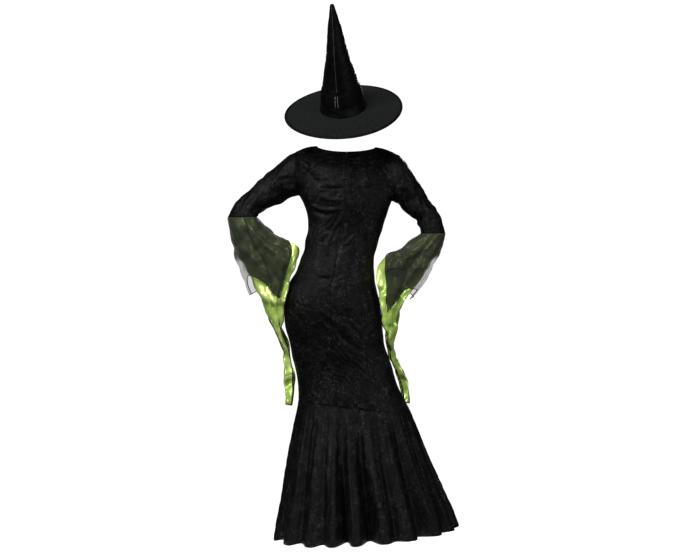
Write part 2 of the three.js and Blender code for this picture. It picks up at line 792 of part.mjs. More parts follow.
const costume = new THREE.Group()
costume.name = 'witch_costume'
costume.add(frontPanel())
costume.add(backPanel('back_panel_left', 1, 0))
costume.add(backPanel('back_panel_right', 0, -1))
costume.add(zipTape())
costume.add(zipSlider(zipFrame()))
costume.add(zipPull(zipFrame()))
costume.add(sleeve('sleeve_left', leftSleeveRings, leftArmhole, 1))
costume.add(sleeve('sleeve_right', rightSleeveRings, rightArmhole, -1))
costume.add(satinCuff('satin_cuff_left', leftCuff))
costume.add(satinCuff('satin_cuff_right', rightCuff))
costume.add(netCuff('net_cuff_left', leftCuff))
costume.add(netCuff('net_cuff_right', rightCuff))
const foldSteps = flounceFolds.length * columnsPerFold
const backSteps = backFolds * columnsPerFold
const halfFold = columnsPerFold / 2
costume.add(flounceHalf('flounce_back', foldSteps - halfFold, backSteps))
costume.add(flounceHalf('flounce_front', backSteps - halfFold, foldSteps - backSteps))
const hatPlace = hatFrame()
const brim = brimSurface(hatPlace)
costume.add(hatCone(hatPlace))
costume.add(hatBand(hatPlace))
costume.add(clothWall('hat_brim', brim, feltThickness, feltMaterial))
costume.add(brimBinding(brim))

export default costume
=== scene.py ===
import json
import math

import bpy
import numpy as np
from mathutils import Matrix, Vector

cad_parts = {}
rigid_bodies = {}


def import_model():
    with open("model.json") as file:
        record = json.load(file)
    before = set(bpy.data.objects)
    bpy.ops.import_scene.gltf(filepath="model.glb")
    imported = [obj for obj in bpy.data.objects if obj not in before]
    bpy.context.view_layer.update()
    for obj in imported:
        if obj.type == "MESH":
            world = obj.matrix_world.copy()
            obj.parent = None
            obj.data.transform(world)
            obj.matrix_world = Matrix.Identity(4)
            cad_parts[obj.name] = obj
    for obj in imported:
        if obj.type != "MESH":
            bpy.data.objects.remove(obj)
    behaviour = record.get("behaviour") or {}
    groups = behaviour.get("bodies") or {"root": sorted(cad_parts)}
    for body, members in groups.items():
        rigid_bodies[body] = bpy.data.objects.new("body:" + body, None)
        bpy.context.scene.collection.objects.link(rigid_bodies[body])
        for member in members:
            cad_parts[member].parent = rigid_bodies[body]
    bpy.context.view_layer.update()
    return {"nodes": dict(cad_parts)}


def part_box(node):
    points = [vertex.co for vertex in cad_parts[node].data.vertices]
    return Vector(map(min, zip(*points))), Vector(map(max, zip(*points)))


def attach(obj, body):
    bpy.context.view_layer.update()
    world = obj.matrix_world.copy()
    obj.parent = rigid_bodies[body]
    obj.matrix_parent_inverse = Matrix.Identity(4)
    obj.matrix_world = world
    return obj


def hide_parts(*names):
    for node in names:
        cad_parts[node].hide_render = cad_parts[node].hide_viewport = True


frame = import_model()

# Sizes are in millimetres, and go to metres where a mesh is made.
metre = 0.001
degree = math.pi / 180

cloth = {
    "velvet": 1.5,
    "satin": 1.2,
    "net": 1.0,
    "felt": 2.0,
    "halfSeam": 0.3,
    "kneeGap": 0.15,
    "netClearance": 4.6,
    "sleeveGap": 1.45,
    "elbowNumber": 0.034,
}
levels = {"armpit": -188.5, "knee": -965, "hem": -1440}
rowCounts = {"yoke": 7, "bodice": 14}

# level, centre x, half width, back y, front y, slope of the ring across x
figureRings = [
    [-188.5, 2, 174, 90, -112, 0.06],
    [-215, -1, 161, 90, -118, 0.05],
    [-255, -2, 148, 84, -118, 0.04],
    [-300, 3, 139, 78, -108, 0.025],
    [-338, 12, 138, 77, -101, 0.01],
    [-375, 21, 135, 80, -98, 0],
    [-420, 33, 138, 90, -102, 0],
    [-469, 42, 148, 105, -110, 0],
    [-514, 54, 165, 117, -114, 0],
    [-562, 55, 178, 125, -116, 0],
    [-611, 50, 182, 126, -114, 0],
    [-675, 45, 182, 119, -110, 0.005],
    [-742, 31, 178, 110, -106, 0.015],
    [-806, 14, 182, 105, -104, 0.03],
    [-870, -3, 188, 106, -106, 0.055],
    [-915, -18, 196, 110, -110, 0.08],
    [-965, -33, 211, 118, -116, 0.107],
]
flounceRings = [
    [-965, -33, 211, 118, -116, 0.107],
    [-1020, -37, 228, 138, -134, 0.08],
    [-1090, -42, 248, 163, -156, 0.05],
    [-1160, -47, 268, 189, -180, 0.02],
    [-1230, -55, 289, 214, -204, 0],
    [-1300, -63, 308, 238, -226, -0.02],
    [-1370, -70, 330, 260, -248, -0.035],
    [-1440, -75, 348, 280, -268, -0.046],
]
# Angle of each fold's crest, from the wearer's left side over the back, and the groove's depth after it.
flounceFolds = [
    [8, 22], [34, 26], [55, 24], [70, 74], [84, 80], [100, 36], [117, 62], [139, 46], [157, 34], [174, 30],
    [192, 52], [210, 60], [229, 66], [247, 58], [266, 70], [285, 60], [303, 64], [321, 50], [340, 40],
]
backFolds = 10
sides = ((1, "left"), (-1, "right"))

necks = {"side": [109, -4, 8], "back": [0, 60, -19], "front": [0, -84, -92], "share": 0.62}
armholes = {
    1: {"top": [184, -4, -12], "pit": [176, 0, -178], "back": [186, 72], "front": [172, -66]},
    -1: {"top": [-199, -4, -27], "pit": [-172, 0, -199], "back": [-189, 72], "front": [-178, -66]},
}

# outer x, outer z, inner x, inner z, back y, front y
sleeveRings = {
    1: [
        [184, -12, 176, -178, 72, -66],
        [221, -36, 188, -181, 72, -60],
        [262, -70, 204, -187, 69, -49],
        [306, -110, 234, -199, 68, -36],
        [350, -148, 277, -219, 72, -22],
        [391, -186, 313, -240, 78, -10],
        [421, -224, 329, -253, 86, -3],
        [440, -263, 330, -261, 92, 0],
    ],
    -1: [
        [-199, -27, -172, -199, 72, -66],
        [-226, -59, -184, -205, 72, -60],
        [-251, -95, -197, -214, 69, -49],
        [-276, -140, -216, -235, 68, -36],
        [-303, -182, -240, -254, 70, -22],
        [-329, -219, -262, -273, 74, -12],
        [-353, -264, -274, -297, 80, -5],
        [-370, -322, -277, -323, 86, -1],
    ],
}
# Hems give the angle round the cuff and the ring number where the cloth ends there.
cuffs = {
    1: {
        "rings": [
            [440, -263, 330, -261, 92, 0],
            [426, -324, 284, -313, 100, -6],
            [404, -387, 228, -347, 104, -12],
            [375, -443, 176, -372, 106, -12],
            [342, -512, 186, -450, 106, 0],
            [313, -568, 218, -534, 104, 18],
            [281, -655, 232, -637, 76, 12],
            [240, -743, 217, -727, 22, -20],
            [232, -815, 203, -808, -2, -38],
            [230, -891, 194, -891, -8, -42],
            [226, -962, 202, -966, -8, -40],
        ],
        "satinHem": [
            [0, 5], [100, 6.1], [120, 6.4], [150, 6.1], [180, 4.6], [215, 4.2],
            [270, 4.7], [330, 5], [360, 5],
        ],
        "netHem": [
            [0, 4.5], [20, 3.7], [40, 3.5], [75, 4.7], [112, 5.2], [124, 4.4], [135, 3.5],
            [146, 2.8], [158, 2.3], [180, 2], [215, 2.4], [270, 4], [330, 4.3], [360, 4.5],
        ],
        "swing": 26,
    },
    -1: {
        "rings": [
            [-370, -322, -277, -323, 86, -1],
            [-356, -358, -241, -354, 98, -6],
            [-337, -391, -197, -387, 106, -8],
            [-314, -432, -142, -413, 110, -8],
            [-286, -480, -114, -451, 112, 0],
            [-255, -528, -116, -510, 112, 16],
            [-218, -573, -124, -573, 106, 34],
            [-196, -621, -130, -628, 94, 40],
            [-192, -680, -138, -682, 70, 26],
            [-176, -745, -154, -749, 30, -10],
            [-193, -799, -172, -806, -8, -44],
            [-224, -861, -194, -857, -40, -72],
            [-242, -962, -221, -960, -58, -88],
        ],
        "satinHem": [
            [0, 6.3], [100, 8.0], [120, 8.3], [150, 7.5], [180, 5.1], [215, 4.7],
            [270, 5.6], [330, 6.2], [360, 6.3],
        ],
        "netHem": [
            [0, 5.6], [25, 4.9], [50, 5.0], [80, 6.1], [107, 6.8], [124, 5.3],
            [140, 3.7], [158, 2.8], [180, 2.3], [215, 2.7], [270, 4.6], [330, 5.3], [360, 5.6],
        ],
        "swing": 16,
    },
}
cuffColumns = 32
cuffWaves = {"count": 6, "depth": 7}
tail = {"first": -2, "last": 9, "folds": 1.38, "depth": 0.75, "slack": 0.001}

hat = {
    "base": [11, 20, 150],
    "seamAngle": 72,
    "backTilt": 33,
    "sideTilt": 6.5,
    "halfWidth": 84.5,
    "halfDepth": 98,
    "tipRadius": 8,
    "coneHeight": 402,
    "tipRounding": 6,
    "brimRadius": 221,
    "brimDroop": 15,
    "brimStart": 3.2,
    "brimTurnUp": 2.2,
    "bandLow": 40,
    "bandHigh": 84,
    "bandOut": 1.85,
    "bandThickness": 1.2,
    "bindingWidth": 8,
    "bindingThickness": 1.1,
    "bindingClearance": 0.35,
}


# Helpers for numbers and tables

def mix(a, b, share):
    return a + (b - a) * share


def smoothStep(value):
    share = np.clip(value, 0, 1)
    return share * share * (3 - 2 * share)


def powered(value, power):
    return np.sign(value) * np.abs(value) ** power


def bell(value, width):
    return np.exp(-((value / width) ** 2))


def parts(table):
    return np.moveaxis(table, -1, 0)


def unit(rays):
    length = np.linalg.norm(rays, axis=-1, keepdims=True)
    return rays / np.maximum(length, 1e-9)


# Even turns round a closed piece, in one row.
def roundAngles(count):
    return (np.arange(count) / count * 2 * math.pi)[None, :]


# The turn from a direction in degrees, between -180 and 180.
def turnFrom(angles, middle):
    return (angles / degree - middle + 180) % 360 - 180


def smoothRows(rows, keys, key):
    rows = np.asarray(rows, float)
    keys = np.asarray(keys, float)
    key = np.asarray(key, float)
    order = 1 if keys[-1] > keys[0] else -1
    last = np.clip(np.searchsorted(keys * order, key * order), 1, len(keys) - 1)
    first = last - 1
    before = np.maximum(np.arange(len(keys)) - 1, 0)
    after = np.minimum(np.arange(len(keys)) + 1, len(keys) - 1)
    slopes = (rows[after] - rows[before]) / (keys[after] - keys[before])[:, None]
    span = (keys[last] - keys[first])[..., None]
    t = (key - keys[first])[..., None] / span
    square = t * t
    cube = square * t
    startPart = (2 * cube - 3 * square + 1) * rows[first] + (cube - 2 * square + t) * slopes[first] * span
    endPart = (3 * square - 2 * cube) * rows[last] + (cube - square) * slopes[last] * span
    return startPart + endPart


def lineAt(rows, key):
    rows = np.asarray(rows, float)
    return np.interp(key, rows[:, 0], rows[:, 1])


def stacked(x, y, z):
    return np.stack(np.broadcast_arrays(x, y, z), axis=-1)


# The dress's surfaces, as in the solids

roundness = {"figure": 0.88, "flounce": 0.96}


def onRing(rings, angle, level, power=roundness["figure"]):
    keys = [ring[0] for ring in rings]
    row = smoothRows(rings, keys, level)
    centre, halfWidth, back, front, slope = parts(row)[1:]
    x = centre + halfWidth * powered(np.cos(angle), power)
    depth = np.where(np.sin(angle) > 0, back, -front)
    y = depth * powered(np.sin(angle), power)
    return stacked(x, y, level + slope * x)


def armholePoint(armhole, angle):
    top = np.array(armhole["top"], float)
    pit = np.array(armhole["pit"], float)
    share = (0.5 + 0.5 * np.cos(angle))[..., None]
    point = mix(pit, top, share)
    turn = np.sin(angle)
    sideX = np.where(turn > 0, armhole["back"][0], armhole["front"][0])
    sideY = np.where(turn > 0, armhole["back"][1], armhole["front"][1])
    point[..., 0] += (sideX - (top[0] + pit[0]) / 2) * turn * turn
    point[..., 1] += sideY * np.abs(turn)
    return point


def neckPoint(centre, side, share):
    turn = share * math.pi / 2
    right = np.where(side < 0, 1.0, 0.0)
    x = side * (necks["side"][0] + 1.5 * right) * np.cos(turn)
    y = mix(necks["side"][1], centre[1], np.sin(turn))
    z = mix(necks["side"][2] - 4 * right, centre[2], np.sin(turn) ** 1.15)
    return stacked(x, y, z)


def topEdge(centre, side, share):
    limit = necks["share"]
    neck = neckPoint(centre, side, np.clip(1 - share / limit, 0, 1))
    tips = np.where((side > 0)[..., None], armholes[1]["top"], armholes[-1]["top"])
    run = np.clip((share - limit) / (1 - limit), 0, 1)
    corner = neckPoint(centre, side, np.zeros_like(share))
    seam = mix(corner, tips, run[..., None])
    seam[..., 2] += 5 * np.sin(run * math.pi)
    return np.where((share < limit)[..., None], neck, seam)


def ringAngle(isBack, across):
    return math.pi / 2 * (1 - across) * (1 if isBack else -1)


def yokePoint(isBack, across, height):
    side = np.where(across < 0, -1.0, 1.0)
    share = np.abs(across)
    centre = necks["back"] if isBack else necks["front"]
    low = np.full_like(across, levels["armpit"])
    bottom = onRing(figureRings, ringAngle(isBack, across), low)
    point = mix(bottom, topEdge(centre, side, share), height[..., None])
    sideBottom = onRing(figureRings, ringAngle(isBack, side), low)
    armAngle = math.pi * (1 - height) * (1 if isBack else -1)
    isLeft = (side > 0)[..., None]
    arm = np.where(isLeft, armholePoint(armholes[1], armAngle), armholePoint(armholes[-1], armAngle))
    armTop = np.where(isLeft, armholes[1]["top"], armholes[-1]["top"])
    armBase = mix(sideBottom, armTop, height[..., None])
    point = point + (arm - armBase) * (share ** 3)[..., None]
    fullness = (10 if isBack else -12) * np.sin(height * math.pi)
    point[..., 1] += fullness * (1 - share * share)
    return point


# Folds dragged across at one level each: the level, how far they reach, their height, length and slant.
waistDrag = {"level": -350, "reach": 70, "height": 1.6, "length": 11, "slant": 2.2}
thighDrag = {"level": -800, "reach": 150, "height": 1.8, "length": 24, "slant": 3}


def dragFold(drag, angle, level, turn, fullness=1):
    wave = np.sin(level / drag["length"] + drag["slant"] * np.cos(angle - turn)) * fullness
    return drag["height"] * bell(level - drag["level"], drag["reach"]) * wave


def dragFolds(angle, level):
    sideFullness = 0.6 + 0.4 * np.cos(2 * angle)
    return dragFold(waistDrag, angle, level, 0, sideFullness) + dragFold(thighDrag, angle, level, 0.5)


def panelPoint(isBack, across, row):
    across, row = np.broadcast_arrays(np.asarray(across, float), np.asarray(row, float))
    height = np.clip(1 - row / rowCounts["yoke"], 0, 1)
    yoke = yokePoint(isBack, across, height)
    share = np.clip((row - rowCounts["yoke"]) / rowCounts["bodice"], 0, 1)
    level = mix(levels["armpit"], levels["knee"], share)
    angle = ringAngle(isBack, across)
    body = onRing(figureRings, angle, level)
    push = dragFolds(angle, level) * smoothStep(share * 6)
    body[..., 0] += push * np.cos(angle)
    body[..., 1] += push * np.sin(angle)
    return np.where((row <= rowCounts["yoke"])[..., None], yoke, body)


def ovalCentre(section):
    outerX, outerZ, innerX, innerZ, back, front = parts(section)
    return stacked((outerX + innerX) / 2, (back + front) / 2, (outerZ + innerZ) / 2)


def ovalPoint(section, angle):
    outerX, outerZ, innerX, innerZ, back, front = parts(section)
    x = (outerX - innerX) / 2 * np.cos(angle)
    z = (outerZ - innerZ) / 2 * np.cos(angle)
    y = (back - front) / 2 * np.sin(angle)
    return ovalCentre(section) + stacked(x, y, z)


def sectionAt(rings, number):
    return smoothRows(rings, np.arange(len(rings)), number)


def away(point, centre):
    return unit(point - centre)


def cuffPoint(cuff, column, number):
    angle = column / cuffColumns * 2 * math.pi
    section = sectionAt(cuff["rings"], number)
    point = ovalPoint(section, angle)
    growth = smoothStep(number / 3.5)
    wave = (np.cos(cuffWaves["count"] * angle + 0.5 * number) - 0.5) * cuffWaves["depth"] * growth
    return point + away(point, ovalCentre(section)) * wave[..., None]


def tailPoint(cuff, column, number):
    section = sectionAt(cuff["rings"], number)
    outerX, outerZ, innerX, innerZ, back, front = parts(section)
    share = (column - tail["first"]) / (tail["last"] - tail["first"])
    fold = np.cos(tail["folds"] * 2 * math.pi * share)
    x = (outerX - innerX) / 2 * fold
    z = (outerZ - innerZ) / 2 * fold
    y = (back - front) / 2 * (2 * share - 1) * tail["depth"]
    return ovalCentre(section) + stacked(x, y, z)


# The ring number at which the satin or the net ends.
def hemEnd(cuff, hem, columns):
    return lineAt(cuff[hem], (columns / cuffColumns * 360) % 360)


def signedColumns(columns, beyond=0):
    return np.where(columns > cuffColumns / 2 + beyond, columns - cuffColumns, columns)


def satinPoint(cuff, column, number):
    end = hemEnd(cuff, "satinHem", column)
    turn = signedColumns(column, 2)
    point = cuffPoint(cuff, column, number)
    inTail = (turn >= tail["first"] - tail["slack"]) & (turn <= tail["last"] + tail["slack"])
    gathering = smoothStep((number - end + 0.4) / 2.4) * inTail
    return mix(point, tailPoint(cuff, turn, number), gathering[..., None])


# Meshes of thin cloth

def gridNormals(points, closed):
    wrapped = points
    if closed:
        wrapped = np.concatenate([points[:, -1:], points, points[:, :1]], axis=1)
    along = np.gradient(wrapped, axis=0)
    across = np.gradient(wrapped, axis=1)
    normals = np.cross(along, across)
    if closed:
        normals = normals[:, 1:-1]
    return unit(normals)


def meshObject(name, points, faces, material, uvs=None):
    mesh = bpy.data.meshes.new(name)
    mesh.from_pydata((points * metre).tolist(), [], faces)
    mesh.materials.append(material)
    for polygon in mesh.polygons:
        polygon.use_smooth = True
    if uvs is not None:
        layer = mesh.uv_layers.new(name="clothUv")
        corners = np.empty(len(mesh.loops), dtype=np.int32)
        mesh.loops.foreach_get("vertex_index", corners)
        layer.data.foreach_set("uv", uvs[corners].astype(np.float32).ravel())
    mesh.update()
    obj = bpy.data.objects.new(name, mesh)
    bpy.context.scene.collection.objects.link(obj)
    return obj


def clothUvs(points, closed):
    rows = np.linalg.norm(np.diff(points, axis=0), axis=-1)
    down = np.concatenate([np.zeros((1, points.shape[1])), np.cumsum(rows, axis=0)])
    columns = np.linalg.norm(np.diff(points, axis=1), axis=-1).mean(axis=0)
    over = np.concatenate([[0], np.cumsum(columns)])
    return np.stack(np.broadcast_arrays(over[None, :] * metre, down * metre), axis=-1)


# A thin wall: the outer grid, the same grid moved in along its normals, and rims at open edges.
# A pole is a pair of points, outer and inner, that close the first row of a closed grid.
# keep is a table of the cells that stay, square straightens the normals at seams, and bare tells the
# material where the net has no satin under it.
def clothWall(
    name, points, thickness, material, closed=False, keep=None, flip=False, square=None, pole=None, bare=None
):
    rowCount, columnCount = points.shape[:2]
    if flip:
        points = points[:, ::-1]
        keep = None if keep is None else keep[:, ::-1]
    normals = gridNormals(points, closed)
    if square is not None:
        square(normals)
    inner = points - normals * thickness
    uvs = clothUvs(points, closed)
    cellColumns = columnCount if closed else columnCount - 1
    row, column = np.meshgrid(np.arange(rowCount - 1), np.arange(cellColumns), indexing="ij")
    nextColumn = (column + 1) % columnCount
    a = row * columnCount + column
    b = (row + 1) * columnCount + column
    c = (row + 1) * columnCount + nextColumn
    d = row * columnCount + nextColumn
    quads = np.stack([a, b, c, d], axis=-1)
    outer = (quads.reshape(-1, 4) if keep is None else quads[keep]).tolist()
    points = points.reshape(-1, 3)
    inner = inner.reshape(-1, 3)
    uvs = uvs.reshape(-1, 2)
    if pole is not None:
        tip = len(points)
        outer += [(tip, index, (index + 1) % columnCount) for index in range(columnCount)]
        points = np.concatenate([points, [pole[0]]])
        inner = np.concatenate([inner, [pole[1]]])
        uvs = np.concatenate([uvs, [[0, 0]]])
    count = len(points)
    edges = {(face[i], face[(i + 1) % len(face)]) for face in outer for i in range(len(face))}
    rims = [
        (end, start, start + count, end + count)
        for start, end in edges
        if (end, start) not in edges
    ]
    faces = outer + [[corner + count for corner in reversed(face)] for face in outer] + rims
    used = np.unique(np.array([corner for face in faces for corner in face]))
    place = np.full(count * 2, -1)
    place[used] = np.arange(len(used))
    both = np.concatenate([points, inner])[used]
    bothUvs = np.concatenate([uvs, uvs])[used]
    faces = [tuple(place[list(face)].tolist()) for face in faces]
    obj = meshObject(name, both, faces, material, bothUvs)
    if bare is not None:
        shares = (bare[:, ::-1] if flip else bare).reshape(-1)
        shares = np.concatenate([shares, shares])[used].astype(np.float32)
        obj.data.attributes.new("bare", "FLOAT", "POINT").data.foreach_set("value", shares)
    return obj


# Creases placed one by one: start x, start z, end x, end z, bend to the left of its run, width, height.
backCreases = [
    [196, -42, 178, -96, 4, 8, 3.6],
    [170, -52, 138, -92, -6, 9, 3.8],
    [150, -74, 92, -104, 8, 8, 2.6],
    [118, -66, 22, -80, -5, 7, 2.2],
    [128, -118, 60, -128, 7, 10, -2.2],
    [96, -154, 6, -156, 3, 8, -2.8],
    [104, -180, 8, -198, 10, 9, 2.6],
    [138, -212, 6, -228, 16, 9, 3.4],
    [132, -232, 40, -248, 12, 9, -2.6],
    [6, -236, 58, -316, -8, 8, 2.8],
    [58, -316, 98, -352, 6, 8, 2.6],
    [28, -246, 84, -334, -10, 7, -2.4],
    [20, -300, 36, -402, 10, 7, 2.4],
    [48, -330, 66, -410, 12, 8, 2.2],
    [84, -300, 108, -360, 8, 7, 2.0],
    [118, -282, 136, -346, 6, 7, 2.0],
    [-16, -46, -52, -36, 2, 5, 2.0],
    [-14, -66, -60, -56, 4, 5, -1.8],
    [-14, -88, -66, -78, 5, 6, 2.0],
    [-16, -112, -76, -100, 4, 6, -1.6],
    [-32, -150, -104, -146, -4, 8, 2.0],
    [-16, -176, -22, -246, 3, 7, 2.0],
    [-66, -190, -88, -262, 5, 8, 1.8],
    [-72, -296, -76, -352, 3, 6, 2.4],
    [-40, -330, 4, -372, 5, 8, 2.2],
    [-10, -356, 30, -396, -6, 7, -2.2],
    [-120, -70, -166, -128, 8, 9, 2.2],
    [-142, -60, -180, -104, 6, 8, -2.0],
    [-110, -300, -120, -380, -6, 9, -1.6],
    [120, -460, 40, -478, 6, 10, 2.2],
    [110, -500, 52, -492, -4, 8, -1.6],
    [100, -610, -24, -706, -10, 12, 2.2],
    [62, -640, -70, -770, 10, 11, -2.0],
    [24, -742, -78, -826, 4, 6, 1.8],
    [10, -752, -92, -838, 4, 6, -1.6],
    [-2, -768, -104, -852, 4, 6, 1.8],
    [-14, -786, -112, -864, 4, 6, -1.6],
    [120, -720, 60, -900, -20, 14, 1.8],
    [20, -846, 16, -962, 2, 8, -3.4],
    [38, -884, 40, -962, 2, 8, 2.4],
    [-6, -896, -2, -968, 2, 7, 2.0],
    [-40, -918, -44, -972, 2, 7, 1.8],
    [76, -916, 84, -956, 2, 7, -2.0],
    [-96, -926, -108, -980, -3, 8, 1.8],
]
frontCreases = [
    [188, -46, 150, -110, 6, 9, 3.2],
    [162, -70, 118, -124, -6, 9, 2.6],
    [-192, -60, -150, -122, -6, 9, 3.0],
    [-168, -84, -120, -130, 6, 9, 2.4],
    [90, -128, -84, -134, -14, 12, 2.2],
    [150, -214, 40, -240, 12, 9, 2.6],
    [-148, -226, -46, -246, -10, 9, 2.4],
    [110, -270, 30, -300, 8, 8, -2.0],
    [124, -320, 60, -352, 8, 8, 2.4],
    [-104, -306, -48, -344, -8, 8, 2.2],
    [-88, -350, -10, -380, -8, 8, -2.2],
    [96, -366, 30, -396, 6, 7, 2.0],
    [140, -440, 60, -470, 8, 10, 2.0],
    [-50, -450, 20, -476, -6, 9, -1.8],
    [150, -560, 20, -600, 14, 13, 1.8],
    [-90, -620, 20, -700, 12, 12, 1.8],
    [100, -680, -20, -770, -10, 12, -1.8],
    [60, -760, -60, -850, 8, 9, 1.8],
    [110, -800, 60, -930, -10, 11, 1.8],
    [30, -870, 24, -962, 3, 8, -2.8],
    [-30, -890, -34, -968, 3, 8, 2.2],
    [-90, -910, -98, -976, 3, 8, -2.0],
    [88, -900, 92, -954, 3, 8, 2.0],
]
creaseShape = {"narrower": 0.7, "higher": 2.1}


def creasePush(points, creases):
    push = np.zeros(points.shape[:2])
    flat = points[..., [0, 2]]
    for startX, startZ, endX, endZ, bend, width, height in creases:
        start = np.array([startX, startZ], float)
        run = np.array([endX, endZ], float) - start
        length = np.linalg.norm(run)
        ahead = run / length
        left = np.array([-ahead[1], ahead[0]])
        along = (flat - start) @ ahead / length
        beside = (flat - start) @ left - bend * 4 * along * (1 - along)
        taper = np.sin(np.clip(along, 0, 1) * math.pi) ** 0.7
        width = width * creaseShape["narrower"]
        push += creaseShape["higher"] * height * bell(beside, width) * taper
    return push


# Fine wrinkles: centre x, centre z, reach in x, reach in z, direction in degrees, spacing, height, seed.
backWrinkles = [
    [128, -84, 60, 40, 128, 20, 2.4, 0.3],
    [64, -62, 70, 26, 172, 17, 1.7, 1.1],
    [-66, -76, 66, 44, 12, 15, 2.0, 2.2],
    [-120, -104, 50, 50, 48, 16, 2.0, 0.9],
    [62, -196, 84, 56, 166, 25, 2.2, 1.7],
    [-40, -160, 50, 40, 170, 20, 1.6, 0.5],
    [52, -286, 66, 58, 128, 17, 2.4, 2.6],
    [-62, -326, 46, 50, 84, 17, 2.2, 0.2],
    [-78, -226, 40, 62, 80, 18, 1.9, 1.4],
    [-20, -372, 110, 36, 158, 17, 2.2, 3.1],
    [96, -372, 50, 44, 120, 18, 1.8, 0.7],
    [60, -478, 116, 50, 8, 24, 2.4, 1.9],
    [-14, -786, 124, 100, 40, 17, 3.4, 0.4],
    [46, -640, 110, 70, 40, 26, 3.2, 1.2],
    [96, -870, 70, 74, 76, 24, 2.6, 2.1],
    [-96, -620, 64, 96, 66, 24, 2.4, 0.8],
    [-40, -920, 160, 44, 84, 26, 2.8, 1.6],
]
frontWrinkles = [
    [136, -96, 56, 44, 52, 20, 2.2, 0.6],
    [-136, -112, 56, 44, 128, 20, 2.2, 1.3],
    [0, -230, 120, 40, 4, 24, 1.8, 2.0],
    [70, -330, 70, 56, 40, 18, 2.2, 0.4],
    [-60, -340, 70, 56, 140, 18, 2.2, 1.7],
    [20, -480, 120, 50, 172, 24, 1.6, 2.4],
    [10, -700, 120, 100, 36, 22, 1.7, 0.9],
    [20, -900, 140, 50, 84, 24, 1.8, 2.8],
]


def wrinklePatches(points, patches):
    x = points[..., 0]
    z = points[..., 2]
    push = np.zeros(points.shape[:2])
    for centreX, centreZ, reachX, reachZ, direction, spacing, height, seed in patches:
        turn = direction * degree
        along = (x - centreX) * math.cos(turn) + (z - centreZ) * math.sin(turn)
        beside = (z - centreZ) * math.cos(turn) - (x - centreX) * math.sin(turn)
        wander = 1.3 * np.sin(along / 26 + seed) + 0.7 * np.sin(along / 11 + 2 * seed)
        ridges = (1 - np.abs(np.sin(math.pi * beside / spacing + wander))) ** 2.2
        broken = 0.6 + 0.4 * np.sin(along / 17 + beside / 13 + 3 * seed)
        inside = np.exp(-(((x - centreX) / reachX) ** 4) - ((z - centreZ) / reachZ) ** 4)
        push += 1.4 * height * ridges * broken * inside
    return push


yokeRounding = {"reach": 10, "width": 4.5, "fadeIn": 1.2, "fadeOut": 3}


# Rounds the kink below the neck's corners without moving the panel's edges.
def roundedYoke(points, rows):
    reach = yokeRounding["reach"]
    spread = bell(np.arange(-reach, reach + 1), yokeRounding["width"])
    spread /= spread.sum()
    before = 2 * points[:, :1] - points[:, reach:0:-1]
    after = 2 * points[:, -1:] - points[:, -2:-reach - 2:-1]
    padded = np.concatenate([before, points, after], axis=1)
    smooth = sum(part * padded[:, index:index + points.shape[1]] for index, part in enumerate(spread))
    fadeOut = smoothStep((rows - rowCounts["yoke"]) / yokeRounding["fadeOut"])
    weight = smoothStep(rows / yokeRounding["fadeIn"]) * (1 - fadeOut)
    return mix(points, smooth, weight[..., None])


panelSizes = {
    "columns": 56,
    "rows": 230,
    "edgeSteps": [0.0, 0.004, 0.009, 0.015, 0.022, 0.032],
    "kneeSteps": [0.0, 0.002, 0.004, 0.007],
}


# Even steps from 0 to 1, with closer ones at the end, and at the start too where it is a seam.
def spreadShares(count, steps, atStart):
    shares = set(np.linspace(0, 1, count + 1)[1:-1].tolist())
    if atStart:
        shares |= set(steps)
    shares |= {1 - step for step in steps}
    return np.array(sorted(shares | {0.0, 1.0}))


kneeRow = rowCounts["yoke"] + rowCounts["bodice"]
seamDip = {
    "side": 1.3,
    "sideWidth": 3.5,
    "knee": 1.2,
    "kneeWidth": 4,
    "halfGirth": 260,
    "rowHeight": 55,
}
centreSeam = {"depth": 1.5, "width": 3.0, "halfBack": 280, "zipEnd": -150, "fade": 70}
# Beside the zip: the distance from it, the width and the height of each rise or dip.
zipShapes = [[3.0, 1.6, 1.0], [7.5, 2.2, -1.3], [0.0, 1.2, -1.0]]


# The side seams and the knee seam sit in a shallow dip.
def seamPush(across, row):
    sideDistance = (1 - np.abs(across)) * seamDip["halfGirth"]
    kneeDistance = (kneeRow - row) * seamDip["rowHeight"]
    dip = seamDip["side"] * bell(sideDistance, seamDip["sideWidth"]) * (row > rowCounts["yoke"] - 2)
    return -dip - seamDip["knee"] * bell(kneeDistance, seamDip["kneeWidth"])


# The zip's two lips stand up beside it near the neck, and a plain seam goes on below.
def centrePush(across, points):
    distance = np.abs(across) * centreSeam["halfBack"]
    zipShare = smoothStep((points[..., 2] - centreSeam["zipEnd"]) / centreSeam["fade"])
    beside = sum(height * bell(distance - shift, width) for shift, width, height in zipShapes)
    seam = centreSeam["depth"] * bell(distance, centreSeam["width"])
    return beside * zipShare - seam * (1 - zipShare)


def wrinklePush(points, seed, size=1.0):
    x, y, z = parts(points)
    push = 0.45 * np.sin(x / 9 + 2.1 * np.sin(z / 23 + seed) + seed)
    push += 0.4 * np.sin(z / 8 + 2.4 * np.sin(x / 17 - seed) + y / 14)
    push += 0.35 * np.sin((x + z) / 6.5 + 2 * np.sin((x - z) / 19 + 2 * seed))
    return size * push


panelFade = {"knee": 0.4, "side": 12, "top": 0.7, "least": 0.25}


